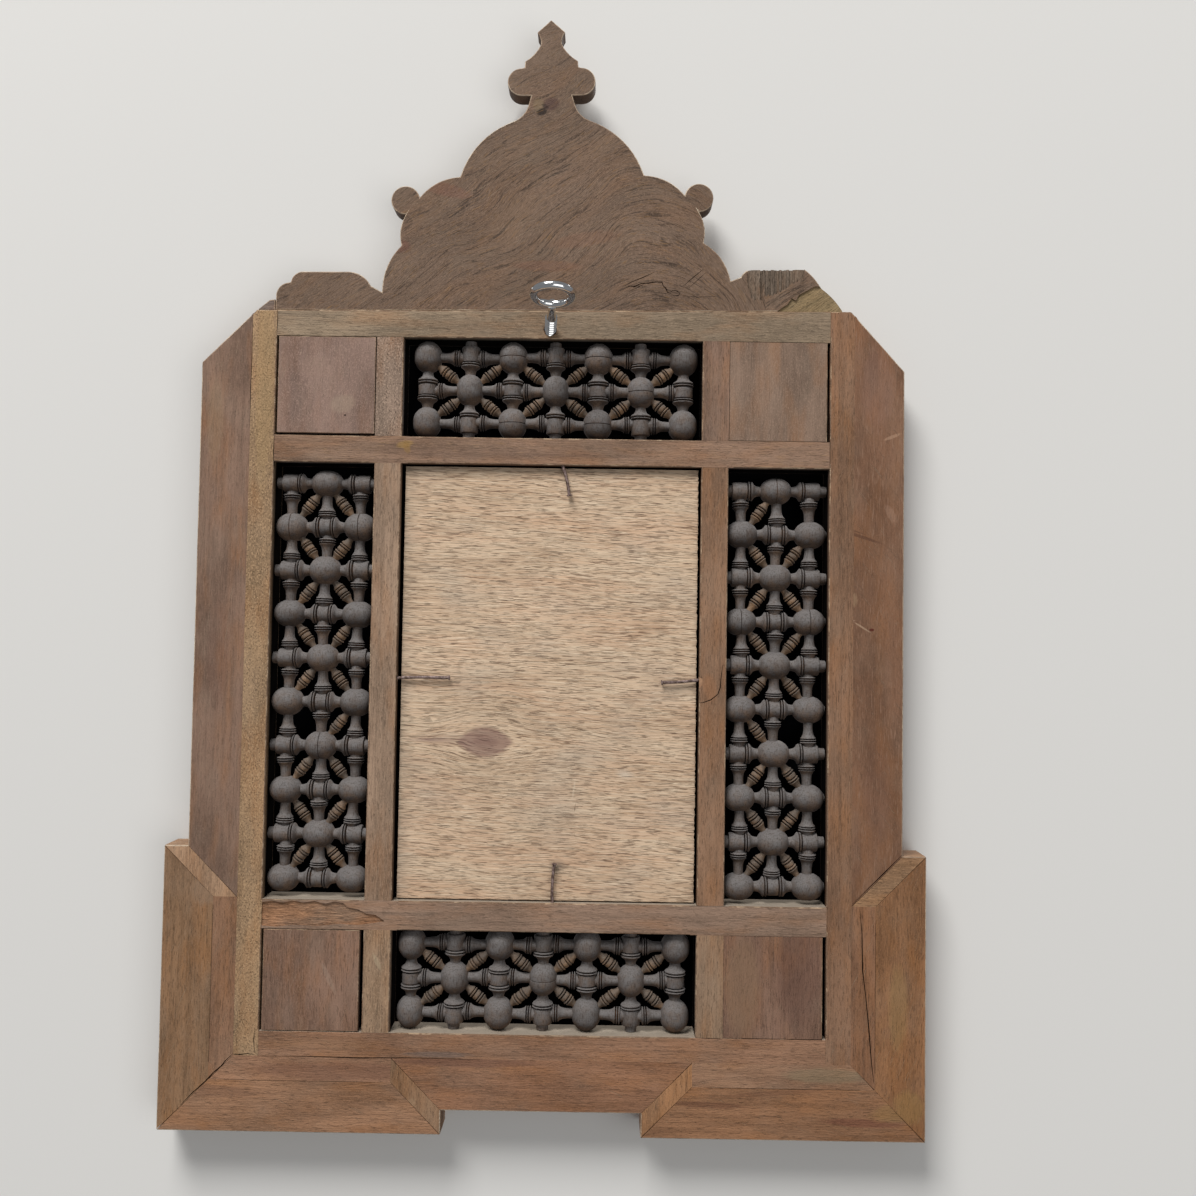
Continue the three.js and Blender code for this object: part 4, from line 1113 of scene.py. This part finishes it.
def turnedMaterial(name, bare, dust, streak, dustAndLight):
    # lathe-turned hardwood, never polished, with grey dust and painted light on what faces up and out
    material, tree = newMaterial(name)
    place = addNode(tree, "ShaderNodeTexCoord").outputs["Object"]
    geometry = addNode(tree, "ShaderNodeNewGeometry")
    patterns = {}
    for layer, (*size, detail) in turnedLayers.items():
        mapping = addNode(tree, "ShaderNodeMapping", {
            "Vector": place, "Location": Vector((0.21, 0.13, 0.4)) * (len(patterns) + 1),
            "Scale": Vector(size) * mm}, vector_type="TEXTURE")
        patterns[layer] = addNode(tree, "ShaderNodeTexNoise", {
            "Vector": mapping.outputs[0], "Scale": 1, "Detail": detail, "Roughness": 0.6}).outputs["Fac"]
    # every turned piece has its own tone
    own = addNode(tree, "ShaderNodeMapRange", {
        "Value": geometry.outputs["Random Per Island"], "To Min": 0.62, "To Max": 1.3})
    mottled = addNode(tree, "ShaderNodeMapRange", {
        "Value": patterns["mottle"], "From Min": 0.38, "From Max": 0.62})
    wood = addNode(tree, "ShaderNodeMix", {
        0: mottled.outputs[0], 6: colour(bare), 7: colour(streak)}, data_type="RGBA")
    toned = addNode(tree, "ShaderNodeVectorMath", {
        0: wood.outputs[2], "Scale": own.outputs[0]}, operation="SCALE")
    # paler grey on faces turned up and towards the back: dust, with painted light
    facing = addNode(tree, "ShaderNodeVectorMath", {
        0: geometry.outputs["Normal"], 1: (-0.1, -0.4, 0.8)}, operation="DOT_PRODUCT")
    dustAndLightLevel = addNode(tree, "ShaderNodeMath", {
        0: patterns["mottle"], 1: 1.3, 2: facing.outputs["Value"]}, operation="MULTIPLY_ADD")
    dustAndLightMask = addNode(tree, "ShaderNodeMapRange", {
        "Value": dustAndLightLevel.outputs[0], "From Min": 0.45, "From Max": 1.35,
        "To Min": dustAndLight * 0.15, "To Max": dustAndLight})
    shade = addNode(tree, "ShaderNodeMix", {
        0: dustAndLightMask.outputs[0], 6: toned.outputs[0], 7: colour(dust)}, data_type="RGBA").outputs[2]
    for layer, amount in (("fibre", 0.5), ("across", 0.35)):
        lines = addNode(tree, "ShaderNodeMapRange", {
            "Value": patterns[layer], "From Min": 0.52, "From Max": 0.66, "To Max": amount})
        shade = addNode(tree, "ShaderNodeMix", {
            0: lines.outputs[0], 6: shade, 7: colour(bare, 0.35)}, data_type="RGBA").outputs[2]
    height = addNode(tree, "ShaderNodeMath", {0: patterns["grain"], 1: patterns["fibre"]}, operation="ADD")
    bump = addNode(tree, "ShaderNodeBump", {
        "Height": height.outputs[0], "Strength": 0.7, "Distance": 0.2 * mm})
    shader = addNode(tree, "ShaderNodeBsdfPrincipled", {
        "Base Color": shade, "Roughness": 0.75, "IOR": 1.45, "Specular IOR Level": 0.12,
        "Normal": bump.outputs[0]})
    addNode(tree, "ShaderNodeOutputMaterial", {"Surface": shader.outputs[0]})
    return material


def turnedPiece(name, profile, sides, wood, cuts):
    # turned, with old dirt and painted shade in its grooves
    piece = turnRings(name, profile, sides)
    piece.data.materials.append(wood)
    piece.data.materials.append(darkSplit)
    for face in piece.data.polygons:
        if min(abs(face.center.z / mm - cut) for cut in cuts) < 0.1:
            face.material_index = 1
    return piece


def addLattices():
    dice = random.Random(11)
    dustAndLight = turnedMaterial("Turned beech, dusty", "#594535", "#767270", "#362921", 0.85)
    cleaner = turnedMaterial("Turned beech, pale peg", "#7f6248", "#706962", "#4f3c2b", 0.6)
    peg = turnedPiece("peg", pegProfile, turning["pegSides"], dustAndLight, pegGrooves)
    slant = turnedPiece(
        "slant", mirroredAlong(slantHalf)[:-1] + slantHalf, turning["slantSides"], cleaner,
        slantGrooves + [-cut for cut in slantGrooves])
    parts = []

    def put(model, place, towards, lay, wobble=1.0):
        # a copy of one turned piece in the panel, pointing towards something, a little off true
        copy = copyOf(model, "turned")
        off = Vector([dice.uniform(-1, 1) for _ in range(3)]) * turning["wobble"] * wobble * mm
        off.y *= 0.5
        tilts = [math.radians(dice.uniform(-1, 1) * turning["lean"] * wobble) for _ in range(3)]
        lean = Euler(tilts).to_matrix().to_4x4()
        swell = 1 + dice.uniform(-1, 1) * turning["swell"]
        roll = Matrix.Rotation(dice.uniform(0, 6.28), 4, "Z") @ Matrix.Diagonal((swell, swell, 1, 1))
        aim = Vector(towards).to_track_quat("Z", "Y").to_matrix().to_4x4()
        copy.data.transform(
            lay @ Matrix.Translation(Vector((place[0], 0, place[1])) * mm + off) @ lean @ aim @ roll)
        parts.append(copy)

    for word, panel in turning["panels"].items():
        low, high = (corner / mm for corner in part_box("lattice_" + word))
        centre = (low + high) / 2
        centre.y = turning["depth"]
        sideways = high.z - low.z > high.x - low.x
        half = (high.x - low.x if sideways else high.z - low.z) / 2 + 0.1
        lay = Matrix.Translation(centre * mm)
        if sideways:
            lay = lay @ Matrix.Rotation(math.pi / 2, 4, "Y")
        pitch, nodePitch = panel["rodPitch"], panel["nodePitch"]
        parts.clear()
        rods = {}
        for kind in ((True, True), (True, False), (False, True), (False, False)):
            profile, cuts = rodProfile(kind[0], panel, half, kind[1])
            rods[kind] = turnedPiece("rod", profile, turning["rodSides"], dustAndLight, cuts)
        isBall = lambda rod, row: ((rod + row) % 2 == 0) != panel["ballFirst"]
        for rod in range(panel["rods"]):
            x = (rod - (panel["rods"] - 1) / 2) * pitch
            put(rods[isBall(rod, 1), dice.random() < turning["marked"]], (x, 0), (0, 0, 1), lay, 0.35)
            if rod == panel["rods"] - 1:
                continue
            for row in (-1, 0, 1):
                z = row * nodePitch + panel["nodeShift"]
                fromLeft = isBall(rod, row)
                put(peg, (x if fromLeft else x + pitch, z), (1 if fromLeft else -1, 0, 0), lay)
            for side in (-1, 1):
                if (rod, side) not in panel["lost"]:
                    row = side if isBall(rod, side) else 0
                    rise = side if row == 0 else -side
                    z = (row + rise / 2) * nodePitch + panel["nodeShift"]
                    put(slant, (x + pitch / 2, z), (pitch, 0, rise * nodePitch), lay)
        work = joinPieces(parts, "turned_work_" + word)
        standFor(work, "lattice", "lattice_" + word)
        for model in rods.values():
            bpy.data.objects.remove(model)
    for model in (peg, slant):
        bpy.data.objects.remove(model)


addLattices()
print("lattices turned and laid")


# Crest: a fretted board, sawn by hand. Outline knots are (x, z, bulge) in mm from its foot's middle.
crestShape = {
    "foot": (-1.35, 1.78), "tilt": 1.25, "back": 30.9, "front": 39.9, "arris": 0.4, "rise": 0.6,
    "railSlope": 0.01,
    "rightWing": [
        (126.3, -0.9, 0), (117.4, 9.3, 0.7), (116.4, 10.6, 0), (109.6, 18.2, 0.5), (87.5, 18.2, 0),
        (82, 14.7, 1), (77.6, 13, 0)],
    "leftWing": [
        (120.8, 2, 0), (120.8, 9, 0), (114.4, 14.1, 1.6), (110, 18.8, 1), (89, 18.6, 0), (79.4, 12.2, 1.6),
        (74.5, 9.4, 0)],
    "shoulder": [(66, 30, 2.3), (64.1, 43.8, 1.4)],
    "ear": (64.2, 50, 6.3, -90, 169),
    "dome": [(40.3, 60.2, 2.2), (16.2, 85, 4.2), (10.4, 91.4, -0.9), (9, 96.1, 0)],
    "arm": (13.1, 102.3, 6.2, -90, 90),
    "tip": [(11.8, 108.8, 0), (11.6, 111.6, 0), (4.5, 119.3, -0.8), (6.2, 124.4, -0.5), (0, 130, 0)],
    # grain: where it turns over (x), how steeply it climbs, how much it curls, mm
    "grain": {"turnFrom": 26, "turnTo": 92, "drop": 86, "climb": -0.66, "curl": 15, "curlSize": (34, 26)},
    # stains: x, z, half width, half height, turn, colour, amount
    "stains": [
        (-3.6, 94, 4.6, 3.4, 20, "#46302d", 0.6), (-9.2, 93.6, 3.0, 3.8, 0, "#75664c", 0.4),
        (-7.6, 90.4, 2.8, 1.9, 20, "#1c1411", 0.85), (-6.2, 93.0, 2.0, 1.2, -30, "#2b201b", 0.6),
        (-50, 55.5, 15, 3.6, -14, "#74463a", 0.25), (-69, 30, 6, 3.6, 0, "#6a3d34", 0.35),
        (12, 34, 20, 4, 10, "#7d5440", 0.2), (-4, 22, 18, 3, 0, "#82533f", 0.2),
        (-77.4, 20.4, 1.8, 2.0, 0, "#b08b4e", 0.85)],
    # torn top of the right wing: its lower edge, then the flake lost to its right
    "tornEdge": [
        (83.0, 17.5), (85.4, 9.3), (88.5, 7.9), (90.8, 10.8), (94.2, 10.4), (97.4, 12.3), (100.7, 14.7),
        (106.4, 17.7), (108.5, 20.5)],
    "tornTo": 108,
    "flake": [
        (112.6, 14.6), (109, 12.6), (105.6, 10.7), (104.4, 8.2), (102.6, 9.3), (100.6, 6.4), (98.6, 5.2),
        (96.1, 3.3), (95, 1), (131, 1), (131, 14.6)],
    # cracks: path and width
    "cracks": [
        ([(29.8, 12.5), (32, 13.7), (33.9, 13.4), (37, 14.9), (40.3, 15.1), (43.6, 15.7), (46, 15.6),
          (46.6, 13.9), (47.7, 13.0), (48.4, 11.2), (49.9, 10.6)], 0.5),
        ([(28.6, 13.2), (33, 15.6), (37.4, 17.4), (42.6, 19.9)], 0.4),
        ([(31, 11.2), (35.4, 13.0), (38.6, 15.0)], 0.35),
        ([(49.6, 10.9), (50.6, 12.0), (52.4, 11.8), (53.9, 11.0), (53.4, 9.9), (51.4, 9.6),
          (50.2, 10.4)], 0.35),
        ([(55.1, 13.8), (59.6, 17.9), (63.9, 21.5)], 0.45),
        ([(57.8, 13.2), (61.4, 16.6), (65, 20)], 0.35),
        ([(54, 9.8), (61, 9.2), (70, 9.6)], 0.3),
    ],
    "crackDepth": 0.9,
}


# Its wood: thin dark growth lines instead of straight streaks.
crestWood = {
    "sizes": {
        "tone": (40, 16), "bands": (34, 2.2), "streaks": (16, 0.7), "fibre": (4, 0.36), "pores": (2.6, 0.3)},
    "steps": {
        "tone": (0.36, 0.64, 1.14), "streaks": (0.58, 0.64, 0.4), "rings": (0.245, 0.16, 0.3),
        "pores": (0.6, 0.66, 0.3)},
    "amounts": {
        "tone": 0.7, "bands": 0.18, "streaks": 0.3, "rings": 0.8, "fibre": 0.22, "pores": 0.45,
        "dust": 0.1, "warmth": 0.1, "flecks": 0.3},
}


def sweepTo(points, x, z, bulge):
    # a curve to (x, z) that stands proud of its chord by the bulge
    if bulge == 0:
        points.append((x, z))
        return
    startX, startZ = points[-1]
    normal = Vector((z - startZ, startX - x)).normalized() * 2 * bulge
    middle = Vector(((startX + x) / 2, (startZ + z) / 2)) + normal
    steps = 10
    for i in range(1, steps + 1):
        t = i / steps
        points.append((
            (1 - t) ** 2 * startX + 2 * t * (1 - t) * middle.x + t * t * x,
            (1 - t) ** 2 * startZ + 2 * t * (1 - t) * middle.y + t * t * z))


def crestHalf(wing):
    points = [wing[0][:2]]
    for knot in wing[1:] + crestShape["shoulder"]:
        sweepTo(points, *knot)
    for arc, rest in (("ear", "dome"), ("arm", "tip")):
        x, z, radius, first, last = crestShape[arc]
        steps = 18
        for i in range(steps + 1):
            a = math.radians(first + (last - first) * i / steps)
            points.append((x + radius * math.cos(a), z + radius * math.sin(a)))
        for knot in crestShape[rest]:
            sweepTo(points, *knot)
    return points


def crestToRow(x, z):
    # from the crest's own tilted axes to the part's frame
    a = math.radians(-crestShape["tilt"])
    footX, footZ = crestShape["foot"]
    return (x * math.cos(a) + z * math.sin(a) + footX, -x * math.sin(a) + z * math.cos(a) + footZ)


def archedFlow(tree, vector):
    # grain that climbs to the right, arches over and drops steeply at the right of the crest
    grain = crestShape["grain"]
    curlLength, curlHeight = grain["curlSize"]
    parts = addNode(tree, "ShaderNodeSeparateXYZ", {0: vector})
    swirl = addNode(tree, "ShaderNodeMapping", {
        "Vector": vector, "Location": (0.7, 0.2, 0.46),
        "Scale": Vector((curlLength, 50, curlHeight)) * mm}, vector_type="TEXTURE")
    swirlNoise = addNode(tree, "ShaderNodeTexNoise", {
        "Vector": swirl.outputs[0], "Scale": 1, "Detail": 1.5, "Roughness": 0.4})
    turnOver = addNode(tree, "ShaderNodeMapRange", {
        "Value": parts.outputs["X"], "From Min": grain["turnFrom"] * mm, "From Max": grain["turnTo"] * mm})
    squared = addNode(tree, "ShaderNodeMath", {0: turnOver.outputs[0], 1: 2.0}, operation="POWER")
    climb = addNode(tree, "ShaderNodeMath", {
        0: parts.outputs["X"], 1: grain["climb"], 2: parts.outputs["Z"]}, operation="MULTIPLY_ADD")
    dropped = addNode(tree, "ShaderNodeMath", {
        0: squared.outputs[0], 1: grain["drop"] * mm, 2: climb.outputs[0]}, operation="MULTIPLY_ADD")
    curled = addNode(tree, "ShaderNodeMath", {
        0: swirlNoise.outputs["Fac"], 1: grain["curl"] * mm, 2: dropped.outputs[0]}, operation="MULTIPLY_ADD")
    return addNode(tree, "ShaderNodeCombineXYZ", {
        0: parts.outputs["X"], 1: parts.outputs["Y"], 2: curled.outputs[0]}).outputs[0]


def heightOf(line, x):
    # z on a broken line of (x, z) points
    for (x0, z0), (x1, z1) in zip(line, line[1:]):
        if x0 <= x <= x1:
            return z0 + (z1 - z0) * (x - x0) / (x1 - x0)
    return line[-1][1]


def addCrest():
    shape = crestShape
    right = crestHalf(shape["rightWing"])
    left = [(-x, z) for x, z in crestHalf(shape["leftWing"])][::-1][1:]
    slope = math.tan(math.atan(shape["railSlope"]) - math.radians(shape["tilt"]))
    outline = [(x, max(z, shape["rise"] + slope * x)) for x, z in right + left]
    for end in (0, -1):
        outline[end] = (outline[end][0], shape["rise"] + slope * outline[end][0])
    piece = sawnShape("fretted_crest", [crestToRow(*p) for p in outline], shape["back"], shape["front"])
    piece.data.materials.append(woodMaterial(
        "Figured hardwood crest", "#6e5a4b", flow=archedFlow, seed=3, wander=1.4, relief=0.2,
        patches=shape["stains"], **crestWood))
    piece.data.materials.append(paleArrisAndHighlight)
    applyModifier(
        piece, "BEVEL", width=shape["arris"] * mm, segments=2, limit_method="ANGLE",
        angle_limit=math.radians(40), use_clamp_overlap=False, material=1)
    torn = woodMaterial(
        "Torn wood fibres", "#6d5f52", grain="z", seed=9, relief=0.5, roughness=0.85,
        sizes={"fibre": (5, 0.5)}, amounts={"fibre": 0.6, "pores": 0.8, "bands": 0.6})
    # narrow slivers of different length and depth
    dice = random.Random(4)
    edge = shape["tornEdge"]
    overlap = 0.02
    x = edge[0][0] + 0.2
    while x < shape["tornTo"] - 0.4:
        x1 = min(x + dice.uniform(0.8, 2.0), shape["tornTo"])
        z0, z1 = heightOf(edge, x) + dice.uniform(-0.5, 0.6), heightOf(edge, x1) + dice.uniform(-0.5, 0.6)
        outline = [
            (x - overlap, z0), ((x + x1) / 2, min(z0, z1) - dice.uniform(0, 0.8)), (x1 + overlap, z1),
            (x1 + overlap, 24), (x - overlap, 24)]
        carveOutline(piece, outline, shape["back"] + dice.uniform(1.2, 2.4), torn)
        x = x1
    # a shallower flake lost to its right
    flaked = woodMaterial(
        "Split face of the crest", "#7d6b4f", grain=-35, seed=14, relief=0.3, roughness=0.75,
        amounts={"bands": 0.5, "warmth": 0.1})
    carveOutline(piece, shape["flake"], shape["back"] + 0.75, flaked)
    for path, width in shape["cracks"]:
        cutCrack(piece, path, width, shape["crackDepth"], shape["back"], darkSplit)
    keepInBox(piece)
    finishMesh(piece)
    standFor(piece, "crest", "crest")


addCrest()
print("crest sawn, chipped and split")
